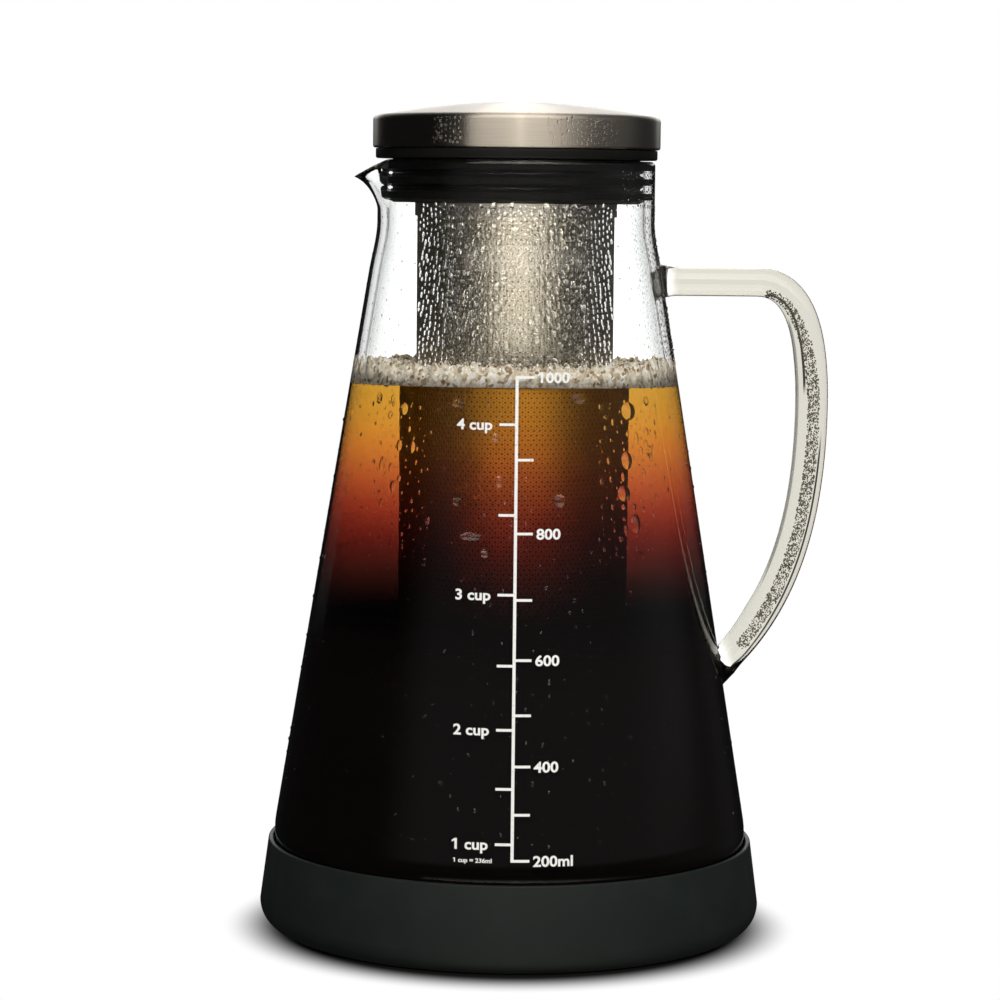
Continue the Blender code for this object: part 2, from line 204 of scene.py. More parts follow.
# %% [markdown]
# ## Light as in a packshot
# Glass is lit by what stands around it. A white sweep behind the carafe shines through it, dark strips
# beside that sweep draw its dark edges, and one soft box in front, high enough that the sloping glass
# doesn't mirror it, lights the brushed steel. The world holds all of that by kind of ray: what the camera
# sees is plain white, what clear glass lets through is the sweep, and what metal mirrors is the studio.
# The counts of Light Path's bounces tell the kinds apart, because a mirrored ray that has also gone
# through glass comes from steel inside the carafe, which gets a lower light of its own.

# %% Colours as they are written
PLAIN_WHITE = (1.0, 1.0, 1.0, 1.0)


def linear(red, green, blue):
    """A colour of 0 to 255 as a screen shows it, in the linear values that nodes take."""
    return tuple(
        share / 12.92 if share <= 0.04045 else ((share + 0.055) / 1.055) ** 2.4
        for share in (red / 255, green / 255, blue / 255)
    )


# %% World
SWEEP_WHITE = 1.5
STRIP_DARK = 0.1
STRIP_SPACING = 45.0
STRIP_WIDTH = 7.0
STRIP_UP = (-3.4, 48.0, 0.8)
ROOF_DARK = 0.2
ROOF_UP = (50.0, 62.0)
CURTAIN = 0.55
CURTAIN_ACROSS = (104.0, 138.0, 6.0)
CURTAIN_UP = (-26.0, 14.0, 4.0)
PANEL_STRENGTH = 3.2
PANEL_UP = (17.0, 72.0, 4.0)
TABLE_GLOW = 0.5
TABLE_UP = (-76.0, -16.0, 8.0)
PANEL_WARMTH = (1.0, 0.94, 0.85)
PANEL_LEVELS = (
    ((-43.0, 0.0), (-41.5, 0.66), (-22.0, 0.68), (-8.0, 0.76), (0.0, 0.86), (3.0, 1.35), (6.0, 0.86))
    + ((16.0, 0.78), (30.0, 0.76), (40.0, 0.52), (54.0, 0.29), (68.0, 0.1), (84.0, 0.04), (112.0, 0.0))
)
CROWN_NARROW, CROWN_NARROW_EDGE = 1.7, (6.0, 14.0)
CROWN_WIDE, CROWN_WIDE_EDGE = 1.0, (20.0, 34.0)
CROWN_UP = (2.5, 66.0, 4.0)
RIM_BESIDE = (20.0, 44.0, 3.0)
RIM_UP = (-42.0, 30.0, 3.0)
CEILING, CEILING_UP = 0.2, (68.0, 76.0)
FILL, FILL_ACROSS, FILL_UP = 0.1, (-70.0, 125.0, 30.0), (-4.0, 34.0, 6.0)
SIDES, SIDES_ACROSS, SIDES_UP = 0.03, (60.0, 160.0, 30.0), (-20.0, 60.0, 12.0)
DARKEST = 0.008
DRY_LIGHT, DRY_FILL, DRY_ACROSS = 6.6, 0.06, (-26.0, 32.0, 20.0)
WET_LIGHT, WET_FILL, WET_ACROSS = 8.0, 0.1, (-42.0, 52.0, 24.0)
INNER_UP = (-44.0, 3.0, 5.0)
DIFFUSE_LEVEL = 0.5
THROUGH_GLASS, INTO_CARAFE, THROUGH_COFFEE = 0.5, 2.5, 4.5


def sweep(board, azimuth, elevation):
    """What is seen through glass: a white sweep with evenly spaced dark strips under a dark roof."""
    off_strip = ((azimuth / STRIP_SPACING).math("FRACT") - 0.5).math("ABSOLUTE") * STRIP_SPACING
    on_strip = 1 - board.smooth(off_strip, STRIP_WIDTH / 2 - 1, STRIP_WIDTH / 2 + 1)
    dark = on_strip * board.within(elevation, *STRIP_UP) * (SWEEP_WHITE - STRIP_DARK)
    roof = board.smooth(elevation, *ROOF_UP) * (SWEEP_WHITE - ROOF_DARK)
    curtain = board.within(azimuth, *CURTAIN_ACROSS) * board.within(elevation, *CURTAIN_UP)
    return (SWEEP_WHITE - dark - roof) * (1 - curtain * CURTAIN)


def panel(board, azimuth, elevation):
    """The soft box and its glow on the table in front, brightest in the middle and fading to the right."""
    turns = (azimuth + 180) / 360
    stops = []
    for place, level in PANEL_LEVELS:
        stops.append(((place + 180) / 360, tuple(level * tint for tint in PANEL_WARMTH)))
    across = board.node("ShaderNodeValToRGB", {"stops": stops}, {0: turns}, out="Color")
    up = board.within(elevation, *PANEL_UP) + board.within(elevation, *TABLE_UP) * TABLE_GLOW
    return across, up * PANEL_STRENGTH


def surroundings(board, azimuth, elevation, first, in_wall):
    """What else is mirrored: behind at first sight, beside that from within a glass wall, and faint fill."""
    off_back = 180 - azimuth.math("ABSOLUTE")
    narrow = (1 - board.smooth(off_back, *CROWN_NARROW_EDGE)) * CROWN_NARROW
    wide = (1 - board.smooth(off_back, *CROWN_WIDE_EDGE)) * CROWN_WIDE
    behind = (narrow + wide) * board.within(elevation, *CROWN_UP) * first
    rim = board.within(off_back, *RIM_BESIDE) * board.within(elevation, *RIM_UP) * in_wall
    ceiling = board.smooth(elevation, *CEILING_UP) * CEILING
    fill = board.within(azimuth, *FILL_ACROSS) * board.within(elevation, *FILL_UP) * FILL
    sides = board.within(azimuth, *SIDES_ACROSS) * board.within(elevation, *SIDES_UP) * SIDES
    return DARKEST + behind + rim + ceiling + fill + sides


def inner_light(board, azimuth, elevation, wet):
    """What steel inside the carafe mirrors: a narrow light where it is dry, a wide one through coffee."""
    dry_level = board.within(azimuth, *DRY_ACROSS) * DRY_LIGHT
    wet_level = board.within(azimuth, *WET_ACROSS) * WET_LIGHT
    across = dry_level + (wet_level - dry_level) * wet
    return across * board.within(elevation, *INNER_UP) + DRY_FILL + wet * (WET_FILL - DRY_FILL)


def build_world():
    """The world whose brightness depends on direction and on what the ray has met."""
    world = bpy.data.worlds.new("studio")
    world.use_nodes = True
    world.node_tree.nodes.clear()
    world.cycles.sampling_method = "NONE"
    board = Board(world.node_tree)
    direction = board.node("ShaderNodeTexCoord", out="Generated")
    x, y, z = board.node("ShaderNodeSeparateXYZ", None, {0: direction}, out=(0, 1, 2))
    azimuth = x.math("ARCTAN2", 0 - y) * math.degrees(1)
    elevation = z.math("ARCSINE") * math.degrees(1)
    camera_ray, glossy_depth, transmission_depth, diffuse_depth = board.node(
        "ShaderNodeLightPath", out=("Is Camera Ray", "Glossy Depth", "Transmission Depth", "Diffuse Depth")
    )
    through = board.grey(sweep(board, azimuth, elevation))
    across, up = panel(board, azimuth, elevation)
    first = transmission_depth < THROUGH_GLASS
    inside = transmission_depth > INTO_CARAFE
    around = board.grey(surroundings(board, azimuth, elevation, first, 1 - first - inside))
    mirrored = board.added(board.scaled(across, up * (1 - inside)), around)
    inner = inner_light(board, azimuth, elevation, transmission_depth > THROUGH_COFFEE)
    mirrored = board.added(mirrored, board.scaled(PANEL_WARMTH, inner * inside))
    seen = board.blend(diffuse_depth > 0.5, through, (DIFFUSE_LEVEL,) * 3 + (1.0,))
    seen = board.blend(glossy_depth > 0.5, seen, mirrored)
    seen = board.blend(camera_ray, seen, PLAIN_WHITE)
    background = board.node("ShaderNodeBackground", None, {"Color": seen, "Strength": 1.0})
    board.node("ShaderNodeOutputWorld", None, {"Surface": background})
    return world


bpy.context.scene.world = build_world()
print("world nodes", len(bpy.context.scene.world.node_tree.nodes))

# %% [markdown]
# Two soft lamps give the shadows and the modelling of the dull surfaces. Each is set by the brightness
# that it adds to a white card facing it, which for an area lamp is its power over pi squared and the
# distance squared.


# %% Lamps
def add_lamp(name, azimuth, elevation, distance, size, brightness, color):
    """An area lamp that looks at the brewer's middle and stays out of sight."""
    around = math.radians(azimuth)
    up = math.radians(elevation)
    middle = Vector((0.0, 0.0, 0.1))
    away = Vector((math.sin(around) * math.cos(up), -math.cos(around) * math.cos(up), math.sin(up)))
    lamp = bpy.data.objects.new(name, bpy.data.lights.new(name, "AREA"))
    lamp.data.shape = "DISK"
    lamp.data.size = size
    lamp.data.energy = brightness * math.pi**2 * distance**2
    lamp.data.color = color
    lamp.location = middle + away * distance
    lamp.rotation_euler = away.to_track_quat("Z", "Y").to_euler()
    lamp.visible_camera = False
    lamp.visible_glossy = False
    lamp.visible_transmission = False
    bpy.context.collection.objects.link(lamp)
    return lamp


add_lamp("front_lamp", 8, 40, 1.4, 0.5, 0.55, (1.0, 0.97, 0.93))
add_lamp("top_lamp", 20, 84, 1.2, 0.9, 0.38, (1.0, 1.0, 1.0))
print("lamps", [light.name for light in bpy.data.lights])

# %% [markdown]
# ## Finishes
# Every finish starts from the same board: where a point lies on its piece, in the piece's own
# coordinates, and one Principled shader. Then each adds what its material shows close up, such as the
# turning marks of brushed steel or the moulded grain of silicone.


# %% A finish and its board
class Finish(Board):
    """The board of a new material, with the point's place on the piece already split."""

    def __init__(self, name):
        self.material = bpy.data.materials.new(name)
        self.material.use_nodes = True
        self.material.node_tree.nodes.clear()
        super().__init__(self.material.node_tree)
        self.place = self.node("ShaderNodeTexCoord", out="Object")
        self.x, self.y, self.z = self.node("ShaderNodeSeparateXYZ", None, {0: self.place}, out=(0, 1, 2))

    def radius(self):
        """Distance from the Z axis."""
        square = self.x * self.x + self.y * self.y
        return square.math("SQRT")

    def noise(self, size, detail=2.0, place=None):
        """A grain whose blotches are about this size, from 0 to 1."""
        sockets = {"Vector": place or self.place, "Scale": 1 / size, "Detail": detail}
        return self.node("ShaderNodeTexNoise", None, sockets)

    def stretched(self, across, along, rise):
        """A place whose grain is long round the axis: scaled direction in x and y, scaled rise in z."""
        reach = self.radius() + 0.01 * MM
        axes = {0: self.x / reach * along, 1: self.y / reach * along, 2: rise * across}
        return self.node("ShaderNodeCombineXYZ", None, axes)

    def bump(self, height, depth, strength=1.0):
        """A normal from a height of 0 to 1 that stands for this depth in metres."""
        sockets = {"Height": height, "Distance": depth, "Strength": strength}
        return self.node("ShaderNodeBump", None, sockets, out="Normal")

    def principled(self, **values):
        """The Principled shader, with an underscore for each space in a socket's name."""
        sockets = {name.replace("_", " "): value for name, value in values.items()}
        return self.node("ShaderNodeBsdfPrincipled", None, sockets, out="BSDF")

    def done(self, shader):
        """Wires the shader to the output and gives the material."""
        self.node("ShaderNodeOutputMaterial", None, {"Surface": shader})
        print("finish", self.material.name, len(self.tree.nodes), "nodes")
        return self.material

    def lets_light_by(self, shader):
        """Clear things hardly shade: for shadow rays the shader is plain transparent."""
        shadow_ray = self.node("ShaderNodeLightPath", out="Is Shadow Ray")
        clear = self.node("ShaderNodeBsdfTransparent", None, {"Color": PLAIN_WHITE})
        return self.node("ShaderNodeMixShader", None, {0: shadow_ray, 1: shader, 2: clear})


# %% Floor
FLOOR_RADIUS = 0.12
SHADOW_FORWARD = 5.5 * MM
SHADOW_FADE = (56.5 * MM, 72.0 * MM)
SHADOW_DARK = (0.012, 0.012, 0.012, 1.0)


def white_table():
    """A table as white as the sweep, clear but for a tight shadow painted round the boot."""
    finish = Finish("white_table")
    # Painted shadow: a dark ring round the boot, shifted a little forward, that fades out to a clear table.
    forward = finish.y + SHADOW_FORWARD
    away = finish.x * finish.x + forward * forward
    clear = finish.smooth(away.math("SQRT"), *SHADOW_FADE)
    shadow = finish.principled(Base_Color=SHADOW_DARK, Roughness=0.9, Specular_IOR_Level=0.0)
    gone = finish.node("ShaderNodeBsdfTransparent", None, {"Color": PLAIN_WHITE})
    return finish.done(finish.node("ShaderNodeMixShader", None, {0: clear, 1: shadow, 2: gone}))


floor_shape = bmesh.new()
bmesh.ops.create_circle(floor_shape, cap_ends=True, segments=96, radius=FLOOR_RADIUS)
floor = bpy.data.objects.new("floor", bpy.data.meshes.new("floor"))
floor_shape.to_mesh(floor.data)
floor_shape.free()
floor.data.materials.append(white_table())
floor.visible_glossy = False
bpy.context.collection.objects.link(floor)


# %% Silicone
def silicone(name, color, roughness, shine):
    """Moulded silicone: a matt skin with a fine grain and faint dusty blotches."""
    finish = Finish(name)
    dust = finish.smooth(finish.noise(9 * MM, 4.0), 0.42, 0.75)
    dusty = tuple(value * 1.12 + 0.0006 for value in color)
    shade = finish.blend(dust, (*color, 1.0), (*dusty, 1.0))
    normal = finish.bump(finish.noise(0.35 * MM, 3.0), 0.012 * MM, 0.4)
    rough = roughness + dust * 0.06
    shader = finish.principled(Base_Color=shade, Roughness=rough, Specular_IOR_Level=shine, Normal=normal)
    return finish.done(shader)


boot_silicone = silicone("boot_silicone", (0.0085, 0.0118, 0.0108), 0.55, 0.25)
stopper_silicone = silicone("stopper_silicone", (0.0038, 0.0038, 0.0036), 0.45, 0.3)
seal_silicone = silicone("seal_silicone", (0.006, 0.006, 0.006), 0.5, 0.3)


# %% Brushed steel
SURFACE = 136.6 * MM
UNDER_COFFEE_PAINTED_LIGHT = 0.85


def brushed(name, color, roughness, spread, line=0.11 * MM, wet=0.0):
    """Steel brushed round its axis, the highlight spread across its lines; rougher and painted brighter under
    coffee.
    """
    finish = Finish(name)
    rise = finish.radius() + finish.z
    lines = finish.noise(1.0, 3.0, finish.stretched(1 / line, 3.0, rise))
    cloud = finish.noise(6 * MM, 3.0)
    tint = tuple(value * 0.86 for value in color)
    shade = finish.blend(finish.smooth(lines, 0.25, 0.75), (*tint, 1.0), (*color, 1.0))
    rough = roughness - 0.03 + lines * 0.06 + cloud * 0.04
    if wet:
        below = 1 - finish.smooth(finish.z, SURFACE - 2 * MM, SURFACE + 12 * MM)
        rough = rough + below * wet
        # Painted highlight: under the coffee the steel's colour is made brighter, for the brighter highlight
        # seen through the coffee.
        shade = finish.scaled(shade, 1 + below * UNDER_COFFEE_PAINTED_LIGHT)
    normal = finish.bump(lines, 0.004 * MM, 0.35)
    metal = dict(Metallic=1.0, Anisotropic=spread, Anisotropic_Rotation=0.25)
    return finish.done(finish.principled(Base_Color=shade, Roughness=rough, Normal=normal, **metal))


lid_steel = brushed("lid_steel", (0.66, 0.61, 0.54), 0.31, 1.0)
mesh_steel = brushed("mesh_steel", (0.50, 0.46, 0.385), 0.43, 0.80, line=0.3 * MM, wet=0.16)
collar_steel = brushed("collar_steel", (0.42, 0.40, 0.36), 0.48, 0.70)
cap_steel = brushed("cap_steel", (0.50, 0.47, 0.41), 0.44, 0.70)
screen_inside = brushed("screen_inside", (0.24, 0.22, 0.18), 0.5, 0.6, wet=0.16)


# %% Plug plastic
def dull(name, color, roughness, grain_size):
    """A dull moulded surface with a soft mottle."""
    finish = Finish(name)
    mottle = finish.smooth(finish.noise(grain_size * 8, 4.0), 0.35, 0.7)
    darker = tuple(value * 0.6 for value in color)
    shade = finish.blend(mottle, (*darker, 1.0), (*color, 1.0))
    normal = finish.bump(finish.noise(grain_size, 2.0), grain_size / 20, 0.4)
    return finish.done(finish.principled(Base_Color=shade, Roughness=roughness + mottle * 0.1, Normal=normal))


plug_plastic = dull("plug_plastic", linear(30, 30, 30), 0.4, 0.3 * MM)


# %% Glass and water
def clear(name, color, ior, wave_size, wave_depth, rod_shade=None):
    """Clear glass or water with a faint waviness, and a painted shade, darker and warmer, where it is drawn
    as a rod.
    """
    finish = Finish(name)
    normal = finish.bump(finish.noise(wave_size, 1.0), wave_depth, 0.5)
    tint = (*color, 1.0)
    if rod_shade:
        on_rod = finish.node("ShaderNodeAttribute", {"attribute_name": "on_rod"}, out="Fac")
        # Painted shade: on the rod the glass colour is darkened and warmed, for the dark surroundings that
        # the rod shows.
        tint = finish.blend(on_rod, tint, (*rod_shade, 1.0))
    glassy = dict(Roughness=0.0, IOR=ior, Transmission_Weight=1.0)
    return finish.done(finish.lets_light_by(finish.principled(Base_Color=tint, Normal=normal, **glassy)))


# The rod's painted shade: the colour its glass is darkened to.
ROD_PAINTED_SHADE = (0.52, 0.508, 0.448)
carafe_clear = clear("carafe_clear", (0.985, 0.995, 0.99), 1.47, 14 * MM, 0.02 * MM, ROD_PAINTED_SHADE)
dew_water = clear("dew_water", (1.0, 1.0, 1.0), 1.33, 2 * MM, 0.001 * MM)
print("finishes so far", len(bpy.data.materials))

# %% [markdown]
# ## Turning an outline
# Most pieces of this brewer are turned: one outline of (radius, height) points swept once round the Z
# axis. The same few helpers make them all. The sizes repeat the CAD's, and the seats come from the frame.


# %% Turned pieces
def add_piece(name, mesh, material):
    """Puts a mesh in the scene as one object at the origin."""
    piece = bpy.data.objects.new(name, mesh)
    bpy.context.collection.objects.link(piece)
    mesh.materials.clear()
    mesh.materials.append(material)
    return piece


def bridge(bm, rows, around=True, flipped=False):
    """Faces between each row of vertices and the next, round each row or from end to end."""
    for first, second in zip(rows, rows[1:]):
        for step in range(len(first) if around else len(first) - 1):
            after = (step + 1) % len(first)
            corners = (first[step], first[after], second[after], second[step])
            bm.faces.new((corners[0], *corners[:0:-1]) if flipped else corners)


def finished_mesh(name, bm, smooth=False):
    """The mesh of a BMesh, which is freed."""
    mesh = bpy.data.meshes.new(name)
    bm.to_mesh(mesh)
    bm.free()
    if smooth:
        mesh.shade_smooth()
    return mesh


def arc(center, radius, start, end, steps):
    """Points of an arc in the (radius, height) plane, both ends included. Angles are in degrees."""
    angles = [math.radians(start + (end - start) * step / steps) for step in range(steps + 1)]
    return [(center[0] + radius * math.cos(a), center[1] + radius * math.sin(a)) for a in angles]


def rounded(corners, steps=4):
    """An outline through corners (radius, height) or, with a round, (radius, height, round radius)."""
    points = []
    for index, corner in enumerate(corners):
        here = Vector(corner[:2])
        if len(corner) == 2:
            points.append(tuple(here))
            continue
        before = (Vector(corners[index - 1][:2]) - here).normalized()
        after = (Vector(corners[(index + 1) % len(corners)][:2]) - here).normalized()
        half = before.angle(after) / 2
        reach = corner[2] / math.tan(half)
        center = here + (before + after).normalized() * (reach / math.cos(half))
        first = here + before * reach - center
        swing = -math.degrees(first.angle_signed(here + after * reach - center))
        start = math.degrees(math.atan2(first.y, first.x))
        points += arc(center, first.length, start, start + swing, steps)
    return points


def spun_mesh(name, outline, steps, closed=True, crease=35):
    """The mesh of a (radius, height) outline swept once round Z, smooth but for its creases."""
    bm = bmesh.new()
    verts = [bm.verts.new((radius, 0.0, height)) for radius, height in outline]
    edges = [bm.edges.new(pair) for pair in zip(verts, verts[1:])]
    if closed and (outline[0][0] > 0 or outline[-1][0] > 0):
        edges.append(bm.edges.new((verts[-1], verts[0])))
    turn_round = dict(axis=(0, 0, 1), cent=(0, 0, 0), angle=math.tau)
    bmesh.ops.spin(bm, geom=verts + edges, steps=steps, use_merge=True, **turn_round)
    bmesh.ops.remove_doubles(bm, verts=bm.verts, dist=0.002 * MM)
    bmesh.ops.recalc_face_normals(bm, faces=bm.faces)
    mesh = finished_mesh(name, bm, smooth=True)
    mesh.set_sharp_from_angle(angle=math.radians(crease))
    return mesh


def turned(name, outline, steps, material, crease=35):
    """A closed turned piece."""
    piece = add_piece(name, spun_mesh(name, outline, steps, crease=crease), material)
    print(name, len(piece.data.polygons), "faces")
    return piece


# %% [markdown]
# ## The boot
# A soft cup of dark silicone that the carafe stands in. On the real one the skirt swells just above the
# table and thins to a lip that grips the glass. It is the CAD's profile with more facets and softer
# edges, so the highlight along the lip runs without steps.

# %% Boot
base_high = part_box("base_boot")[1]
glass_low, glass_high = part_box("carafe_glass")
BASE_RADIUS = glass_high.y
BOOT_FLOOR = glass_low.z - GAP
BOOT_HEIGHT = base_high.z
BOOT_SKIRT = base_high.y
BOOT_FOOT_INSET = 4.6 * MM
BOOT_SKIRT_HEIGHT = 5.6 * MM
BOOT_LIP_WALL = 1.2 * MM
BOOT_EDGE = 0.45 * MM
BOOT_INNER_ROUND = 6.0 * MM


def boot_outline():
    """Sole, swollen skirt, thin lip and the inside that the carafe's heel rests in."""
    bore = BASE_RADIUS + GAP
    foot = BOOT_SKIRT - BOOT_FOOT_INSET
    belly = [
        (foot + BOOT_FOOT_INSET * math.sin(a), BOOT_SKIRT_HEIGHT * (1 - math.cos(a)))
        for a in (step * math.pi / 28 for step in range(1, 15))
    ]
    cup = rounded(
        [
            belly[-1],
            (bore + BOOT_LIP_WALL, BOOT_HEIGHT, BOOT_EDGE),
            (bore, BOOT_HEIGHT, BOOT_EDGE),
            (bore, BOOT_FLOOR, BOOT_INNER_ROUND),
            (0.0, BOOT_FLOOR),
        ],
        steps=6,
    )
    return [(0.0, 0.0), (foot, 0.0)] + belly[:-1] + cup


boot_skin = turned("boot_skin", boot_outline(), 240, boot_silicone)
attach(boot_skin, "boot")
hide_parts("base_boot")

# %% [markdown]
# ## The blown glass
# The carafe is one blown piece: punt, heel, straight cone, shoulder, neck and a fire-polished rim with a
# lip pulled out while hot. Its outline is offset inwards for the wall. The handle is a solid rod bent in
# the flame and welded on, so carafe and rod are joined by a Boolean union, and light runs from one into
# the other without a seam.

# %% Carafe profile
SEAT = glass_low.z
RIM = glass_high.z
WALL = 2.2 * MM
PUNT = 1.2 * MM
PUNT_SHARE = 0.9
BASE_THICKNESS = 3.2 * MM
HEEL_RADIUS = 20.0 * MM
SHOULDER_RADIUS = 36.28 * MM
SHOULDER_HEIGHT = 12.5 * MM
NECK_RADIUS = 34.3 * MM
NECK_HEIGHT = 14.9 * MM
CONE_TOP = RIM - NECK_HEIGHT - SHOULDER_HEIGHT
HEEL_CENTER = (BASE_RADIUS - HEEL_RADIUS, SEAT + HEEL_RADIUS)


def cone_tilt():
    """How far the cone leans in from upright, in radians: it leaves the heel's arc as a tangent."""
    reach = SHOULDER_RADIUS - HEEL_CENTER[0]
    rise = CONE_TOP - HEEL_CENTER[1]
    return math.atan2(rise, reach) - math.acos(HEEL_RADIUS / math.hypot(reach, rise))


def side_outline(inset, cone_steps=1):
    """Heel, cone and shoulder from the base up, moved in along their own normals by inset."""
    tilt = cone_tilt()
    points = arc(HEEL_CENTER, HEEL_RADIUS - inset, -90, math.degrees(tilt), 20)
    low = Vector((SHOULDER_RADIUS, CONE_TOP))
    high = Vector((NECK_RADIUS, RIM - NECK_HEIGHT))
    pull = SHOULDER_HEIGHT / 3
    low_pull = low + Vector((-math.sin(tilt), math.cos(tilt))) * pull
    curve = interpolate_bezier(low, low_pull, high - Vector((0.0, pull)), high, 20)
    shoulder = []
    for index, point in enumerate(curve):
        along = curve[min(index + 1, len(curve) - 1)] - curve[max(index - 1, 0)]
        shoulder.append(tuple(point + Vector((-along.y, along.x)).normalized() * inset))
    start = Vector(points[-1])
    between = [tuple(start.lerp(Vector(shoulder[0]), step / cone_steps)) for step in range(1, cone_steps)]
    return points + between + shoulder


def wall_radius(height, inset=0.0):
    """The carafe's radius at a height, on its outside or this far inside it."""
    side = side_outline(inset) + [(NECK_RADIUS - inset, RIM)]
    return float(np.interp(height, [z for _, z in side], [r for r, _ in side]))


print("cone tilt", round(math.degrees(cone_tilt()), 2), "degrees")

# %% Carafe outline and its pulled lip
LIP_REACH = 6.3 * MM
LIP_DROP = 4.2 * MM
LIP_DEPTH = 12.0 * MM
LIP_WIDTH = 27.0 * MM
LIP_CURL = 1.35
LIP_ROWS = 12


def carafe_outline():
    """Outside from the punt to the rim, then the inside back down."""
    neck = [RIM - LIP_DEPTH + (LIP_DEPTH - WALL / 2) * row / LIP_ROWS for row in range(LIP_ROWS)]
    outside = [(0.0, SEAT + PUNT), (HEEL_CENTER[0] * PUNT_SHARE, SEAT)] + side_outline(0.0)
    rim = arc((NECK_RADIUS - WALL / 2, RIM - WALL / 2), WALL / 2, 0, 180, 10)
    inside = [(NECK_RADIUS - WALL, height) for height in reversed(neck)] + side_outline(WALL)[::-1]
    floor_center = [(0.0, SEAT + PUNT + BASE_THICKNESS)]
    return outside + [(NECK_RADIUS, height) for height in neck] + rim + inside + floor_center


def pull_lip(mesh):
    """Draws the rim out and down on the -X side, as a glassworker's tool does."""
    half_angle = LIP_WIDTH / 2 / NECK_RADIUS
    for vertex in mesh.vertices:
        x, y, z = vertex.co
        rise = (z - (RIM - LIP_DEPTH)) / LIP_DEPTH
        aside = abs(math.atan2(y, -x)) / half_angle
        if rise <= 0 or aside >= 1:
            continue
        share = rise**LIP_CURL * math.cos(aside * math.pi / 2) ** 2
        outward = Vector((x, y, 0.0)).normalized()
        vertex.co += outward * LIP_REACH * share - Vector((0.0, 0.0, LIP_DROP)) * share * rise


carafe = turned("glass_body", carafe_outline(), 240, carafe_clear, crease=60)
pull_lip(carafe.data)

# %% Handle rod
ROD_RADIUS = 3.6 * MM
HANDLE_REACH = 74.5 * MM
ARM_HEIGHT = SEAT + 157.8 * MM
GRIP_HEIGHT = SEAT + 127.7 * MM
FOOT_HEIGHT = SEAT + 62.0 * MM
BEND_WIDTH = 14.5 * MM
FOOT_ANGLE = math.radians(43.5)
BEND_PULL_SHARES = (0.72, 0.63)
GRIP_PULL_SHARES = (0.43, 0.34)
WELD_FLARE = 0.7 * MM
WELD_LENGTH = 4.0 * MM
WELD_DEPTH_SHARE = 0.5
ROD_SIDES = 40
GRIP_SWELL = 0.45 * MM
ARM_STEPS = 22
BEND_STEPS = 24
GRIP_STEPS = 60
SWELL_FROM = 24
SWELL_IN = 16
SWELL_OUT = 14


def handle_path():
    """Centre line of the rod: a level arm, the bend, the bowed grip and the slanting foot."""
    arm = Vector((wall_radius(ARM_HEIGHT), 0.0, ARM_HEIGHT))
    bend = Vector((HANDLE_REACH - BEND_WIDTH, 0.0, ARM_HEIGHT))
    grip = Vector((HANDLE_REACH, 0.0, GRIP_HEIGHT))
    foot = Vector((wall_radius(FOOT_HEIGHT), 0.0, FOOT_HEIGHT))
    outward = Vector((1.0, 0.0, 0.0))
    upward = Vector((0.0, 0.0, 1.0))
    along_foot = Vector((math.cos(FOOT_ANGLE), 0.0, math.sin(FOOT_ANGLE)))
    drop = ARM_HEIGHT - GRIP_HEIGHT
    fall = GRIP_HEIGHT - FOOT_HEIGHT
    bend_pull = bend + outward * BEND_WIDTH * BEND_PULL_SHARES[0]
    grip_pull = grip + upward * drop * BEND_PULL_SHARES[1]
    under_grip = grip - upward * fall * GRIP_PULL_SHARES[0]
    over_foot = foot + along_foot * fall * GRIP_PULL_SHARES[1]
    level = [arm.lerp(bend, step / ARM_STEPS) for step in range(ARM_STEPS)]
    top = interpolate_bezier(bend, bend_pull, grip_pull, grip, BEND_STEPS)
    low = interpolate_bezier(grip, under_grip, over_foot, foot, GRIP_STEPS)[1:]
    return level + top + low


def slid_to_wall(point, direction):
    """Moves a point along a direction until it lies half way into the glass wall."""
    for _ in range(16):
        beyond = math.hypot(point.x, point.y) - wall_radius(point.z) + WALL * WELD_DEPTH_SHARE
        point = point + direction * beyond
    return point


ACROSS = Vector((0.0, 1.0, 0.0))


def rod_section(path, index):
    """Centre, outward direction and radius of the rod there: the grip is a little thicker, inwards."""
    along = (path[min(index + 1, len(path) - 1)] - path[max(index - 1, 0)]).normalized()
    outward = along.cross(ACROSS)
    share_in = min(max((index - SWELL_FROM) / SWELL_IN, 0.0), 1.0)
    swell = GRIP_SWELL * share_in * min((len(path) - 1 - index) / SWELL_OUT, 1.0)
    return path[index] - outward * swell, outward, ROD_RADIUS + swell


def rod_mesh():
    """Sweeps a circle along the path and sets both ends into the carafe's wall."""
    path = handle_path()
    angles = [math.tau * step / ROD_SIDES for step in range(ROD_SIDES)]
    bm = bmesh.new()
    rings = []
    for index in range(len(path)):
        point, normal, radius = rod_section(path, index)
        off_glass = min(max(point.x - wall_radius(point.z), 0.0) / WELD_LENGTH, 1.0)
        radius = radius + WELD_FLARE * (1 - off_glass) ** 2
        ring = [point + (normal * math.cos(a) + ACROSS * math.sin(a)) * radius for a in angles]
        if index in (0, len(path) - 1):
            inward = normal.cross(ACROSS) if index == 0 else ACROSS.cross(normal)
            ring = [slid_to_wall(place, inward) for place in ring]
        rings.append([bm.verts.new(place) for place in ring])
    bridge(bm, rings)
    for ring in (rings[0], rings[-1]):
        place = sum((vertex.co for vertex in ring), Vector()) / len(ring)
        hub = bm.verts.new(slid_to_wall(place, Vector((-1.0, 0.0, 0.0))))
        for step in range(ROD_SIDES):
            bm.faces.new((ring[step], ring[(step + 1) % ROD_SIDES], hub))
    bmesh.ops.recalc_face_normals(bm, faces=bm.faces)
    return finished_mesh("rod", bm)


# %% Weld the rod to the carafe
def made_plain(piece):
    """Swaps a piece's mesh for what its modifiers make of it, and removes them."""
    graph = bpy.context.evaluated_depsgraph_get()
    mesh = bpy.data.meshes.new_from_object(piece.evaluated_get(graph))
    mesh.name = piece.name
    piece.modifiers.clear()
    piece.data = mesh
    return piece


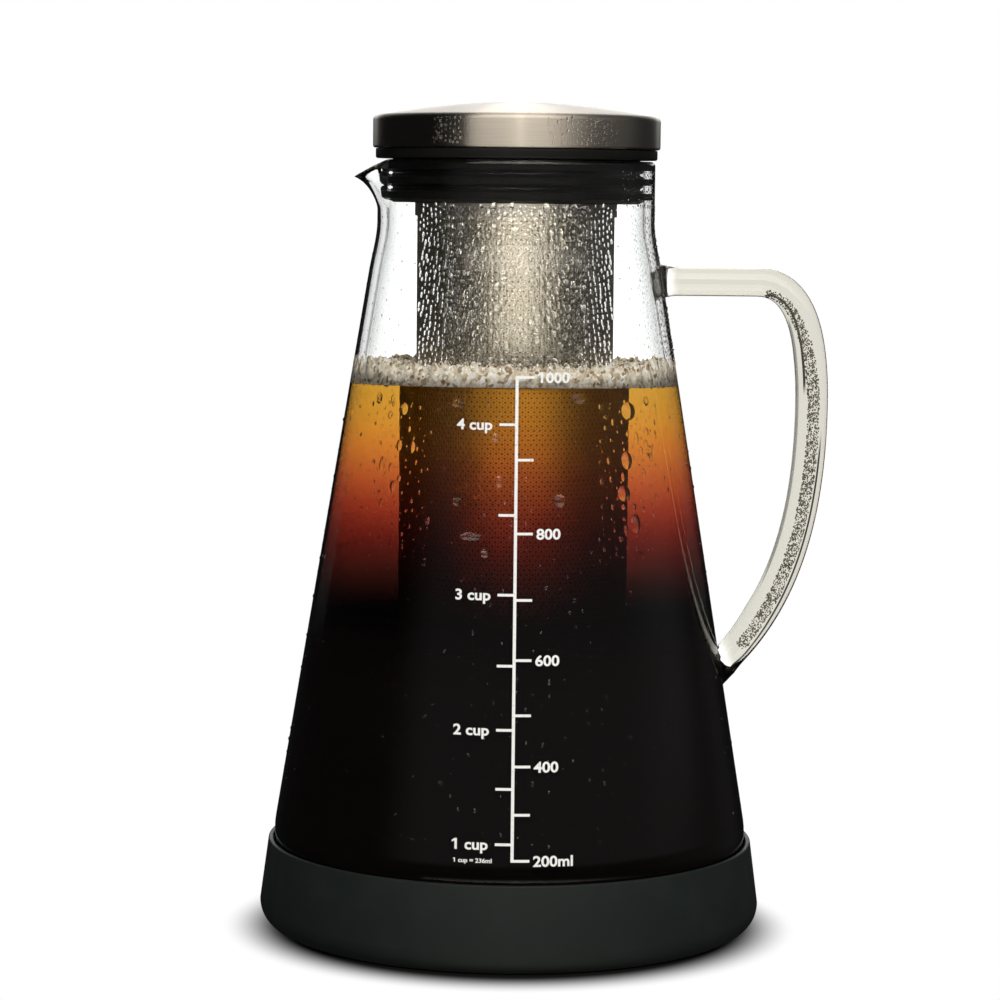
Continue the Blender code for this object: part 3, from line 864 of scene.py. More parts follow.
rod = add_piece("rod", rod_mesh(), carafe_clear)
weld = carafe.modifiers.new("weld", "BOOLEAN")
weld.operation = "UNION"
weld.solver = "EXACT"
weld.object = rod
made_plain(carafe)
bpy.data.objects.remove(rod)
carafe.data.shade_smooth()
# on_rod marks where the glass takes the rod's painted shade.
on_rod = carafe.data.attributes.new("on_rod", "FLOAT", "POINT")
for index, vertex in enumerate(carafe.data.vertices):
    off_wall = math.hypot(vertex.co.x, vertex.co.y) - wall_radius(vertex.co.z)
    beside_lip = vertex.co.x > 0 and abs(vertex.co.y) < 2 * ROD_RADIUS
    on_rod.data[index].value = min(max(off_wall / ROD_RADIUS, 0.0), 1.0) if beside_lip else 0.0
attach(carafe, "carafe")
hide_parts("carafe_glass", "carafe_handle")
print("fused glass", len(carafe.data.polygons), "faces")

# %% [markdown]
# ## Coffee
# Where the light comes through, thin coffee is gold and deeper coffee turns amber, red and then black. A
# ramp over height sets that, measured as real colours, and the last stretch is mixed into an opaque
# black, so that no light is traced where none would come out. The liquid reaches a hair into the wall,
# so no air shows between coffee and glass, and its surface climbs the wall as a meniscus.

# %% Coffee finishes
CLEAR_LOW = 66.0 * MM
DARK_FROM = 86.0 * MM
DARK_TO = 70.0 * MM
INTO_WALL = 0.2 * MM
COFFEE_IOR = 1.17
COFFEE_LEVEL = 1.5 / SWEEP_WHITE
COFFEE_RAMP = (
    (66.0, (9, 6, 6)),
    (71.0, (16, 8, 7)),
    (81.0, (29, 12, 8)),
    (86.0, (44, 13, 11)),
    (91.0, (66, 16, 11)),
    (96.0, (92, 24, 15)),
    (101.0, (121, 35, 22)),
    (106.0, (148, 57, 30)),
    (111.0, (163, 80, 37)),
    (116.0, (182, 97, 39)),
    (121.0, (192, 122, 40)),
    (131.0, (190, 137, 46)),
    (137.0, (188, 140, 50)),
)


def clear_coffee():
    """Coffee that lets light through at the top and none further down."""
    finish = Finish("coffee_upper")
    low, high = COFFEE_RAMP[0][0] * MM, COFFEE_RAMP[-1][0] * MM
    height = (finish.z - low) / (high - low) + (finish.noise(22 * MM, 1.0) - 0.5) * 0.06
    stops = [
        ((z * MM - low) / (high - low), tuple(value * COFFEE_LEVEL for value in linear(*color)))
        for z, color in COFFEE_RAMP
    ]
    tint = finish.node("ShaderNodeValToRGB", {"stops": stops}, {0: height}, out="Color")
    shader = finish.principled(Base_Color=tint, Roughness=0.0, IOR=COFFEE_IOR, Transmission_Weight=1.0)
    black = finish.principled(Base_Color=(*linear(12, 8, 7), 1.0), Roughness=1.0, Specular_IOR_Level=0.0)
    opaque = 1 - finish.smooth(finish.z, DARK_TO, DARK_FROM)
    return finish.done(finish.node("ShaderNodeMixShader", None, {0: opaque, 1: shader, 2: black}))


def dark_coffee():
    """Coffee too deep for light: black with a breath of brown."""
    finish = Finish("coffee_lower")
    cloud = finish.noise(18 * MM, 2.0)
    shade = finish.blend(cloud, (*linear(11, 8, 7), 1.0), (*linear(15, 11, 10), 1.0))
    return finish.done(finish.principled(Base_Color=shade, Roughness=1.0, Specular_IOR_Level=0.0))


upper_finish = clear_coffee()
lower_finish = dark_coffee()

# %% Coffee bodies
MENISCUS = 1.1 * MM
MENISCUS_WIDTH = 2.4 * MM


def coffee_side(low, high, steps):
    """The coffee's outer side between two heights, a hair inside the glass wall."""
    heights = [low + (high - low) * step / steps for step in range(steps + 1)]
    return [(wall_radius(height, WALL - INTO_WALL), height) for height in heights]


def upper_outline():
    """From the join with the dark coffee up the wall, and over the meniscus to the middle."""
    edge = wall_radius(SURFACE, WALL - INTO_WALL)
    shares = [step / 8 for step in range(1, 9)]
    climb = [(edge - MENISCUS_WIDTH * share, SURFACE + MENISCUS * (1 - share) ** 2) for share in shares]
    return [(0.0, CLEAR_LOW)] + coffee_side(CLEAR_LOW, SURFACE + MENISCUS, 40) + climb + [(0.0, SURFACE)]


def lower_outline():
    """From the punt over the heel and up to the join."""
    side = [point for point in side_outline(WALL - INTO_WALL) if point[1] < SEAT + HEEL_RADIUS]
    floor_center = [(0.0, SEAT + PUNT + BASE_THICKNESS - INTO_WALL)]
    join = CLEAR_LOW + INTO_WALL
    return floor_center + side + coffee_side(SEAT + HEEL_RADIUS, join, 12) + [(0.0, join)]


coffee_upper = turned("coffee_upper", upper_outline(), 180, upper_finish)
coffee_lower = turned("coffee_lower", lower_outline(), 180, lower_finish)
for piece in (coffee_upper, coffee_lower):
    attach(piece, "carafe")

# %% [markdown]
# ## The printed scale
# White enamel lines and numbers, fired on the front of the glass. The marks don't sit at even heights,
# because the cone narrows: each is where the carafe holds that much. The heights of the numbered marks
# are measured, a smooth curve through them gives all the others, and adding up thin slices of the inside
# shows how close the print is to what the carafe really holds.

# %% How high each volume stands
NUMBERED_MARKS = {200: 26.9 * MM, 400: 48.6 * MM, 600: 73.2 * MM, 800: 102.6 * MM, 1000: 139.2 * MM}
fill_curve = np.polyfit(list(NUMBERED_MARKS), list(NUMBERED_MARKS.values()), len(NUMBERED_MARKS) - 1)


def held_volume(level):
    """How much the carafe holds up to a level, in millilitres."""
    heights = np.linspace(SEAT + WALL, level, 600)
    radii = np.array([wall_radius(height, WALL) for height in heights])
    punt_volume = math.pi * HEEL_CENTER[0] ** 2 * (PUNT + BASE_THICKNESS - WALL) / 3
    return float((math.pi * radii[:-1] * radii[1:] * np.diff(heights)).sum() - punt_volume) / MM**2


CUP = 236
MARKS_ML = (200, 300, 400, 500, 600, 700, 800, 900, 1000)
MARKS_CUPS = (1, 1.5, 2, 2.5, 3, 3.5, 4)
ml_heights = {mark: float(np.polyval(fill_curve, mark)) for mark in MARKS_ML}
cup_heights = {cups: float(np.polyval(fill_curve, cups * CUP)) for cups in MARKS_CUPS}
print("ml marks, mm", {mark: round(height / MM, 1) for mark, height in ml_heights.items()})
print("cup marks, mm", {mark: round(height / MM, 1) for mark, height in cup_heights.items()})
print("held there, ml", {mark: round(held_volume(height)) for mark, height in ml_heights.items()})

# %% Enamel
PRINT_MIDDLE = 0.7 * MM
PRINT_LOW = 0.02 * MM
PRINT_HIGH = 0.08 * MM
LINE_WIDTH = 0.74 * MM
TICK_WIDTH = 0.62 * MM
TICK_LENGTH = 3.7 * MM
DIGIT_HEIGHT = 2.45 * MM
SMALL_HEIGHT = 1.0 * MM


def enamel():
    """White fired enamel with faint pinholes in its coat."""
    finish = Finish("enamel_white")
    worn = finish.smooth(finish.noise(0.5 * MM, 3.0), 0.25, 0.45)
    shade = finish.blend(worn, (*linear(205, 203, 198), 1.0), (*linear(240, 239, 235), 1.0))
    return finish.done(finish.principled(Base_Color=shade, Roughness=0.45))


def wrapped(across, height, lift):
    """A point of the print: so far to the right, at a height, lifted off the glass."""
    radius = wall_radius(height)
    angle = (PRINT_MIDDLE + across) / radius
    reach = radius + lift
    return Vector((reach * math.sin(angle), -reach * math.cos(angle), height))


def strip(bm, left, right, low, high, columns, rows):
    """A thin slab of enamel between four edges, bent to the glass."""
    edges = []
    for lift in (PRINT_HIGH, PRINT_LOW):
        places = np.linspace(left, right, columns + 1)
        heights = np.linspace(low, high, rows + 1)
        grid = [[bm.verts.new(wrapped(place, height, lift)) for place in places] for height in heights]
        bridge(bm, grid, around=False, flipped=lift == PRINT_LOW)
        right_edge, left_edge = [row[-1] for row in grid[1:]], [row[0] for row in grid[-2:0:-1]]
        edges.append(grid[0] + right_edge + grid[-1][-2::-1] + left_edge)
    bridge(bm, edges, flipped=True)


# %% Lettering
LETTER_STRETCH = 1.14
BOLD = 0.026


def flat_words(words, align):
    """Flat words of size 1 as a mesh, in the font that comes with Blender, thickened."""
    curve = bpy.data.curves.new("words", "FONT")
    curve.body = words
    curve.size = 1.0
    curve.align_x = align
    curve.offset = BOLD
    curve.extrude = 0.5
    curve.resolution_u = 4
    holder = bpy.data.objects.new("words", curve)
    bpy.context.collection.objects.link(holder)
    graph = bpy.context.evaluated_depsgraph_get()
    mesh = bpy.data.meshes.new_from_object(holder.evaluated_get(graph))
    bpy.data.objects.remove(holder)
    return mesh


digit_share = max(vertex.co.y for vertex in flat_words("8", "LEFT").vertices)
FLAG = ((0.02, 0.0), (0.02, -0.15), (-0.17, -0.26), (-0.17, -0.13))


def add_flag(mesh):
    """Gives a leading 1 the flag that it lacks in this font."""
    left = min(vertex.co.x for vertex in mesh.vertices)
    top = max(vertex.co.y for vertex in mesh.vertices if vertex.co.x < left + 0.02)
    bm = bmesh.new()
    bm.from_mesh(mesh)
    front, back = ([bm.verts.new((left + x, top + y, z)) for x, y in FLAG] for z in (0.5, -0.5))
    bm.faces.new(front[::-1])
    bm.faces.new(back)
    bridge(bm, [front, back])
    bm.to_mesh(mesh)
    bm.free()


def letter(bm, words, across, height, size, align):
    """Adds words whose digits stand this tall, centred on a height and bent to the glass."""
    mesh = flat_words(words, align)
    if words.startswith("1"):
        add_flag(mesh)
    scale = size / digit_share
    for vertex in mesh.vertices:
        x, y, z = vertex.co
        lift = PRINT_HIGH if z > 0 else PRINT_LOW
        vertex.co = wrapped(across + x * scale * LETTER_STRETCH, height + y * scale - size / 2, lift)
    bm.from_mesh(mesh)
    bpy.data.meshes.remove(mesh)


# %% Print the scale
RIGHT_WORDS = 4.9 * MM
LEFT_WORDS = -5.7 * MM


def scale_mesh():
    """The upright line, its ticks to both sides and the numbers of every other mark."""
    bm = bmesh.new()
    half = LINE_WIDTH / 2
    low = ml_heights[200] - TICK_WIDTH / 2
    high = ml_heights[1000] + TICK_WIDTH / 2
    strip(bm, -half, half, low, high, 1, 60)
    tick = TICK_WIDTH / 2
    for mark, height in ml_heights.items():
        strip(bm, half, half + TICK_LENGTH, height - tick, height + tick, 6, 1)
        if mark in NUMBERED_MARKS:
            words = f"{mark}ml" if mark == 200 else str(mark)
            letter(bm, words, RIGHT_WORDS, height, DIGIT_HEIGHT, "LEFT")
    for mark, height in cup_heights.items():
        strip(bm, -half - TICK_LENGTH, -half, height - tick, height + tick, 6, 1)
        if mark == int(mark):
            letter(bm, f"{int(mark)} cup", LEFT_WORDS, height, DIGIT_HEIGHT, "RIGHT")
    letter(bm, f"1 cup = {CUP}ml", LEFT_WORDS + 1.0 * MM, ml_heights[200], SMALL_HEIGHT, "RIGHT")
    return finished_mesh("scale_print", bm)


scale_print = add_piece("scale_print", scale_mesh(), enamel())
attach(scale_print, "carafe")
print("scale", len(scale_print.data.polygons), "faces")

# %% [markdown]
# ## The filter
# A laser-perforated steel tube hangs from a pressed collar, which sits in a black silicone stopper, and a
# pressed cup closes it below. Collar, stopper and cup are turned again with finer facets. The holes are
# real openings in a thin skin over the CAD's tube, which shows darker behind them.

# %% Stopper
FLANGE_LOW = RIM + GAP
FLANGE_THICKNESS = 1.9 * MM
FLANGE_OVERHANG = 0.5 * MM
FLANGE_ROUND = 0.5 * MM
RAISED_RIM = 0.55 * MM
RIM_INSIDE = 30.9 * MM
STOPPER_DEPTH = 10.7 * MM
RIB_DEPTH = 1.2 * MM
RIB_WIDTH = 3.2 * MM
RIB_COUNT = 3
RIB_FULLNESS = 3.0
PRESSED_IN = 0.03 * MM
STOPPER_RADIUS = NECK_RADIUS - WALL - GAP - RIB_DEPTH
STOPPER_BORE = STOPPER_RADIUS - 2.9 * MM


def ribs(radius, depth, width, count, low, high, fullness=1.0):
    """Rounded sealing ribs on an outer side, evenly spread from low to high, flat on top when full."""
    pitch = (high - low) / count
    points = []
    for index in range(count):
        middle = low + pitch * (index + 0.5)
        for step in range(9):
            turn_share = step / 8
            swell = min(fullness * math.sin(math.pi * turn_share) ** 1.5, 1.0)
            points.append((radius + depth * swell, middle + width * (turn_share - 0.5)))
    return points


def stopper_outline():
    """A ribbed ring under a flange that rests on the rim."""
    flange = NECK_RADIUS + FLANGE_OVERHANG
    low = FLANGE_LOW - STOPPER_DEPTH
    seat = FLANGE_LOW + FLANGE_THICKNESS
    top = rounded(
        [
            (STOPPER_RADIUS, FLANGE_LOW),
            (flange, FLANGE_LOW, FLANGE_ROUND),
            (flange, seat + RAISED_RIM, FLANGE_ROUND / 2),
            (RIM_INSIDE, seat + RAISED_RIM, FLANGE_ROUND / 4),
            (RIM_INSIDE, seat),
            (STOPPER_BORE, seat),
        ]
    )
    pressed = RIB_DEPTH + GAP + PRESSED_IN
    body = ribs(STOPPER_RADIUS, pressed, RIB_WIDTH, RIB_COUNT, low, FLANGE_LOW, RIB_FULLNESS)
    return [(STOPPER_BORE, low), (STOPPER_RADIUS, low)] + body + top


stopper_skin = turned("stopper_skin", stopper_outline(), 180, stopper_silicone)
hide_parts("neck_stopper")

# %% Collar and end cup
SHEET = 0.5 * MM
COLLAR_RADIUS = STOPPER_BORE - GAP
COLLAR_TOP = FLANGE_LOW + FLANGE_THICKNESS + GAP + SHEET
COLLAR_DEPTH = 10.9 * MM
COLLAR_STEP = 2.4 * MM
COLLAR_REACH = 3.6 * MM
SHOULDER_DROP = 2.3 * MM
SPIGOT_DROP = 3.5 * MM
SCREEN_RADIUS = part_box("filter_screen")[1].y
CUP_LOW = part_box("filter_end_cap")[0].z
CUP_HEIGHT = 8.0 * MM
CUP_ROUND = 2.0 * MM
CUP_BEAD = 0.4 * MM
CUP_BEAD_HEIGHT = 1.2 * MM


def collar_outline():
    """A flange on the stopper, a sleeve, a tapered shoulder and the spigot that holds the screen."""
    bore = COLLAR_RADIUS - SHEET
    spigot = bore - COLLAR_STEP
    shoulder = COLLAR_TOP - COLLAR_DEPTH
    neck = shoulder - SHOULDER_DROP
    end = neck - SPIGOT_DROP
    return rounded(
        [
            (spigot, end),
            (spigot + SHEET, end),
            (spigot + SHEET, neck, 0.8 * MM),
            (COLLAR_RADIUS, shoulder, 0.8 * MM),
            (COLLAR_RADIUS, COLLAR_TOP - SHEET, 0.15 * MM),
            (bore + COLLAR_REACH, COLLAR_TOP - SHEET),
            (bore + COLLAR_REACH, COLLAR_TOP),
            (bore, COLLAR_TOP, 0.6 * MM),
            (bore, shoulder, 0.4 * MM),
            (spigot, neck, 0.4 * MM),
        ]
    )


def cup_outline():
    """A pressed cup round the screen's lower end, with a bead at its mouth."""
    inner = SCREEN_RADIUS + GAP
    outer = inner + SHEET
    top = CUP_LOW + CUP_HEIGHT
    bead = [
        (outer + CUP_BEAD * math.sin(math.pi * step / 8), top - CUP_BEAD_HEIGHT * (1 - step / 8))
        for step in range(9)
    ]
    base = rounded([(0.0, CUP_LOW), (outer, CUP_LOW, CUP_ROUND), (outer, top - CUP_BEAD_HEIGHT)], steps=8)
    return base[:-1] + bead + [(inner, top), (inner, CUP_LOW + SHEET), (0.0, CUP_LOW + SHEET)]


collar_skin = turned("collar_skin", collar_outline(), 180, collar_steel)
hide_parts("filter_collar")
cup_skin = turned("end_cup", cup_outline(), 180, cap_steel)
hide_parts("filter_end_cap")

# %% [markdown]
# The perforation is a job for Geometry Nodes: one hexagonal cell with a hole in it, repeated on a
# staggered grid and rolled into a tube. Each cell's rim is a face of its own, so the holes are open, and
# extruding the sheet gives them depth. The tube is made in bands that share one tree.


# %% Growing meshes with Geometry Nodes
def new_tree(name, **defaults):
    """A Geometry Nodes tree with one input for each default, and the board to wire it."""
    tree = bpy.data.node_groups.new(name, "GeometryNodeTree")
    tree.interface.new_socket(name="Geometry", in_out="OUTPUT", socket_type="NodeSocketGeometry")
    tree.interface.new_socket(name="Geometry", in_out="INPUT", socket_type="NodeSocketGeometry")
    kinds = {float: "NodeSocketFloat", int: "NodeSocketInt", str: "NodeSocketMaterial"}
    for label, default in defaults.items():
        kind = kinds.get(type(default), "NodeSocketObject")
        socket = tree.interface.new_socket(name=label, in_out="INPUT", socket_type=kind)
        if isinstance(default, (float, int)):
            socket.default_value = default
    board = Board(tree)
    wires = board.node("NodeGroupInput", out=("Geometry", *defaults))
    return board, wires


def end_tree(board, geometry, material):
    """Every tree ends the same way: real copies with their material."""
    real = board.node("GeometryNodeRealizeInstances", None, {"Geometry": geometry})
    dressed = board.node("GeometryNodeSetMaterial", None, {"Geometry": real, "Material": material})
    board.node("NodeGroupOutput", None, {"Geometry": dressed})
    return board.tree


def grown(name, mesh, tree, body, slot, **inputs):
    """Runs a tree on a mesh and leaves its result as a plain piece that rides on a body."""
    piece = bpy.data.objects.new(name, mesh)
    bpy.context.collection.objects.link(piece)
    modifier = piece.modifiers.new(name, "NODES")
    modifier.node_group = tree
    for item in tree.interface.items_tree:
        if item.in_out == "INPUT" and item.name in inputs:
            modifier[item.identifier] = inputs[item.name]
    made_plain(piece)
    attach(piece, body)
    print(name, len(piece.data.polygons), "faces")
    return piece


# %% Perforated screen
def screen_tree():
    """Rows of hexagonal cells with holes, rolled round Z."""
    numbers = dict(radius=0.024, low=0.0, thick=0.0002, columns=90, rows=40, pitch=0.0015, hole=0.5)
    board, wires = new_tree("perforation", **numbers, material="")
    _, radius, low, thick, columns, rows, pitch, hole, material = wires

    def step(kind, settings=None, out=0, **values):
        """One Geometry Nodes step, with an underscore for each space in a socket's name."""
        sockets = {name.replace("_", " "): value for name, value in values.items()}
        return board.node("GeometryNode" + kind, settings, sockets, out)

    def triple(x, y, z):
        return board.node("ShaderNodeCombineXYZ", None, {0: x, 1: y, 2: z})

    faces = {"mode": "FACES"}
    of_face = {"domain": "FACE"}
    cell = step("MeshCircle", {"fill_type": "NGON"}, Vertices=6, Radius=pitch / math.sqrt(3))
    opened, top = step("ExtrudeMesh", faces, ("Mesh", "Top"), Mesh=cell, Offset_Scale=0.0, Individual=True)
    opened = step("ScaleElements", of_face, Geometry=opened, Selection=top, Scale=hole)
    opened = step("DeleteGeometry", of_face, Geometry=opened, Selection=top)
    index = step("InputIndex")
    row = (index / columns).math("FLOOR")
    column = index - row * columns
    stagger = row / 2 - (row / 2).math("FLOOR")
    place = triple((column + stagger) * pitch, row * (pitch * math.cos(math.radians(30))), 0.0)
    points = step("SetPosition", Geometry=step("MeshLine", Count=columns * rows), Position=place)
    cells = step("RealizeInstances", Geometry=step("InstanceOnPoints", Points=points, Instance=opened))
    cells = step("MergeByDistance", Geometry=cells, Distance=pitch * 0.02)
    solid = step("ExtrudeMesh", faces, "Mesh", Mesh=cells, Offset_Scale=thick, Individual=False)
    both = step("JoinGeometry")
    for sheet in (solid, step("FlipFaces", Mesh=cells)):
        board.tree.links.new(sheet.socket, both.socket.node.inputs[0])
    both = step("MergeByDistance", Geometry=both, Distance=pitch * 0.002)
    x, y, z = board.node("ShaderNodeSeparateXYZ", None, {0: step("InputPosition")}, out=(0, 1, 2))
    angle = x / (columns * pitch) * math.tau
    reach = radius + z
    rolled = triple(reach * angle.math("SINE"), reach * angle.math("COSINE") * -1.0, y + low)
    tube = step("SetPosition", Geometry=both, Position=rolled)
    return end_tree(board, step("MergeByDistance", Geometry=tube, Distance=pitch * 0.002), material)


HOLE_PITCH = 1.3 * MM
HOLE_SHARE = 0.38
MESH_RADIUS = SCREEN_RADIUS + 0.06 * MM
MESH_THICKNESS = 0.16 * MM
MESH_LOW, MESH_HIGH = (corner.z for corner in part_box("filter_screen"))
BANDS = 4
hole_columns = round(math.tau * MESH_RADIUS / HOLE_PITCH)
real_pitch = math.tau * MESH_RADIUS / hole_columns
row_pitch = real_pitch * math.cos(math.radians(30))
rows_in_all = int((MESH_HIGH - MESH_LOW - real_pitch) / row_pitch)
perforation = screen_tree()
for band in range(BANDS):
    first = rows_in_all * band // BANDS
    last = rows_in_all * (band + 1) // BANDS
    grown(
        f"screen_mesh_{band + 1}",
        bpy.data.meshes.new("seed"),
        perforation,
        "filter",
        "screen_steel",
        radius=MESH_RADIUS,
        low=MESH_LOW + real_pitch / 2 + first * row_pitch,
        thick=MESH_THICKNESS,
        columns=hole_columns,
        rows=last - first,
        pitch=real_pitch,
        hole=HOLE_SHARE,
        material=mesh_steel,
    )
for piece in (stopper_skin, collar_skin, cup_skin):
    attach(piece, "filter")
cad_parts["filter_screen"].data.materials.clear()
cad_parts["filter_screen"].data.materials.append(screen_inside)

# %% [markdown]
# ## The lid
# A cap drawn from sheet steel and brushed as it turns, so its side mirrors the soft box as an upright
# band. Its lower edge is rolled in as a hem. Inside, a black plug with a silicone ring grips the collar.

# %% Lid cap
lid_low, lid_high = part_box("lid_shell")
LID_RADIUS = lid_high.y
LID_WALL = 0.6 * MM
LID_CROWN = 3.3 * MM
LID_EDGE = 1.5 * MM
HEM_HEIGHT = 0.9 * MM
CROWN_STEPS = 14
SPHERE = (LID_RADIUS**2 + LID_CROWN**2) / (2 * LID_CROWN)


def dome(radius, drop=0.0):
    """Height of the lid's crown at a radius, less a drop."""
    return lid_high.z - (SPHERE - math.sqrt(SPHERE**2 - radius**2)) - drop


def lid_outline():
    """Hem, side, rounded edge and crown, then the inside back to the hem."""
    inner = LID_RADIUS - LID_WALL
    shares = [1 - 0.12 - 0.88 * step / CROWN_STEPS for step in range(CROWN_STEPS + 1)]
    outside = rounded(
        [
            (inner - LID_WALL, lid_low.z + HEM_HEIGHT),
            (inner - LID_WALL, lid_low.z, LID_WALL * 0.9),
            (LID_RADIUS, lid_low.z, LID_WALL * 0.9),
            (LID_RADIUS, dome(LID_RADIUS), LID_EDGE),
            (LID_RADIUS * shares[0], dome(LID_RADIUS * shares[0])),
        ],
        steps=8,
    )
    crown = [(LID_RADIUS * share, dome(LID_RADIUS * share)) for share in shares[1:]]
    under = [(inner * share, dome(inner * share, LID_WALL)) for share in reversed(shares)]
    inside = rounded(
        [
            under[-1],
            (inner, dome(inner, LID_WALL), LID_EDGE - LID_WALL),
            (inner, lid_low.z + HEM_HEIGHT),
        ],
        steps=4,
    )
    return outside + crown + under[:-1] + inside


lid_cap = turned("lid_cap", lid_outline(), 240, lid_steel)
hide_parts("lid_shell")

# %% Plug and seal
PLUG_CLEARANCE = 1.0 * MM
PLUG_RADIUS = COLLAR_RADIUS - SHEET - PLUG_CLEARANCE
PLUG_ROUND = 1.2 * MM
LID_SEAT = COLLAR_TOP + GAP
PLUG_LENGTH = LID_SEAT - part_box("lid_core")[0].z
SEAL_HEIGHT = 6.0 * MM
GROOVE = 1.2 * MM
FIN_COUNT = 2


def plug_outline():
    """A disc bonded under the crown, and a plug with a groove for its ring."""
    disc = LID_RADIUS - 2 * LID_WALL - GAP
    low, middle = LID_SEAT - PLUG_LENGTH, LID_SEAT - PLUG_LENGTH / 2
    half = SEAL_HEIGHT / 2 + GAP
    crown = [(disc * (1 - step / 8), dome(disc * (1 - step / 8), LID_WALL + GAP)) for step in range(9)]
    plug = rounded([(0.0, low), (PLUG_RADIUS, low, PLUG_ROUND), (PLUG_RADIUS, middle)])[:-1]
    return (
        plug
        + [(PLUG_RADIUS, middle - half), (PLUG_RADIUS - GROOVE, middle - half)]
        + [(PLUG_RADIUS - GROOVE, middle + half), (PLUG_RADIUS, middle + half), (PLUG_RADIUS, LID_SEAT)]
        + [(disc, LID_SEAT)]
        + crown
    )


def seal_outline():
    """A ring in the plug's groove, with two soft fins."""
    low = LID_SEAT - PLUG_LENGTH / 2 - SEAL_HEIGHT / 2
    high = low + SEAL_HEIGHT
    groove = PLUG_RADIUS - GROOVE + GAP
    fins = ribs(PLUG_RADIUS, PLUG_CLEARANCE - GAP, SEAL_HEIGHT / FIN_COUNT / 2, FIN_COUNT, low, high)
    return [(groove, low), (PLUG_RADIUS, low)] + fins + [(PLUG_RADIUS, high), (groove, high)]


lid_plug = turned("lid_plug", plug_outline(), 180, plug_plastic)
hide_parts("lid_core")
plug_ring = turned("plug_ring", seal_outline(), 180, seal_silicone)
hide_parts("lid_seal")
for piece in (lid_cap, lid_plug, plug_ring):
    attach(piece, "lid")

# %% [markdown]
# ## Froth
# Pouring leaves a ring of froth on the coffee. Geometry Nodes scatter small bubbles over a thin foam
# sheet, mostly tiny and a few large, and push each a little into the sheet so that they crowd together.


# %% Froth finish
def froth_finish():
    """Beige foam whose tiny cells are cream, tan or brown, so that it looks grainy from a step away."""
    finish = Finish("froth")
    sockets = {"Vector": finish.place, "Scale": 1 / (0.75 * MM)}
    cells = finish.node("ShaderNodeTexVoronoi", None, sockets, out="Color")
    cell, _, _ = finish.node("ShaderNodeSeparateXYZ", None, {0: cells}, out=(0, 1, 2))
    cell = cell * 0.75 + finish.noise(1.9 * MM, 3.0) * 0.4 - 0.08
    shades = {0.12: (132, 108, 76), 0.3: (204, 188, 160), 0.6: (232, 222, 202), 0.85: (252, 249, 240)}
    stops = [(place, linear(*color)) for place, color in shades.items()]
    shade = finish.node("ShaderNodeValToRGB", {"stops": stops}, {0: cell}, out="Color")
    normal = finish.bump(finish.noise(0.4 * MM, 2.0), 0.06 * MM, 0.7)
    return finish.done(finish.principled(Base_Color=shade, Roughness=0.35, Normal=normal))


foam_material = froth_finish()

# %% Foam sheet
FROTH_INNER = SCREEN_RADIUS + 0.35 * MM
FROTH_OUTER = wall_radius(SURFACE, WALL) + INTO_WALL + 0.06 * MM
FOAM_DEPTH = 1.5 * MM
FOAM_THICK = 2.5 * MM
FOAM_THIN = 1.2 * MM
FOAM_CLIMB = 3.0 * MM


def foam_top(spot):
    """How high the foam stands at a spot: most at the front, climbing the glass, and lumpy all over."""
    forward = -spot.y / FROTH_OUTER
    outward = (spot.length - FROTH_INNER) / (FROTH_OUTER - FROTH_INNER)
    thickness = FOAM_THIN + (FOAM_THICK - FOAM_THIN) * min(max(0.5 + forward, 0.0), 1.0)
    lump = 0.85 + 0.5 * noise.noise(spot / (2.2 * MM)) + 0.35 * noise.noise(spot / (0.8 * MM))
    return SURFACE + (thickness + FOAM_CLIMB * outward**2) * max(lump, 0.25)


def foam_low(spot):
    """How deep the foam hangs at the glass: least at the front."""
    return SURFACE - FOAM_DEPTH * (1.1 - max(-spot.y / FROTH_OUTER, 0.0))


def leaned(spot, height, outer):
    """A spot of the foam at a height, drawn in or out as the cone's wall leans."""
    share = (spot.length - FROTH_INNER) / (outer - FROTH_INNER)
    lean = (SURFACE - height) * math.tan(cone_tilt()) * share
    return (*(spot * (1 + lean / spot.length)).xy, height)


def foam_mesh(name, outer, closed, rings=16, steps=260):
    """A ring of foam between the filter and the glass: a closed body, or only its top and outer side."""
    bm = bmesh.new()
    turns = [math.tau * step / steps for step in range(steps)]
    rows = []
    for ring in range(rings + 1):
        radius = FROTH_INNER + (outer - FROTH_INNER) * ring / rings
        spots = [Vector((radius * math.cos(turn), radius * math.sin(turn), 0.0)) for turn in turns]
        rows.append([bm.verts.new(leaned(spot, foam_top(spot), outer)) for spot in spots])
    rows.append([bm.verts.new(leaned(spot, foam_low(spot), outer)) for spot in spots])
    if closed:
        rows.append([bm.verts.new((vertex.co.x, vertex.co.y, SURFACE - FOAM_DEPTH)) for vertex in rows[0]])
        rows.append(rows[0])
    bridge(bm, rows, flipped=True)
    if closed:
        bmesh.ops.recalc_face_normals(bm, faces=bm.faces)
    return finished_mesh(name, bm, smooth=True)


foam = add_piece("foam_sheet", foam_mesh("foam_sheet", FROTH_OUTER, True), foam_material)
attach(foam, "carafe")


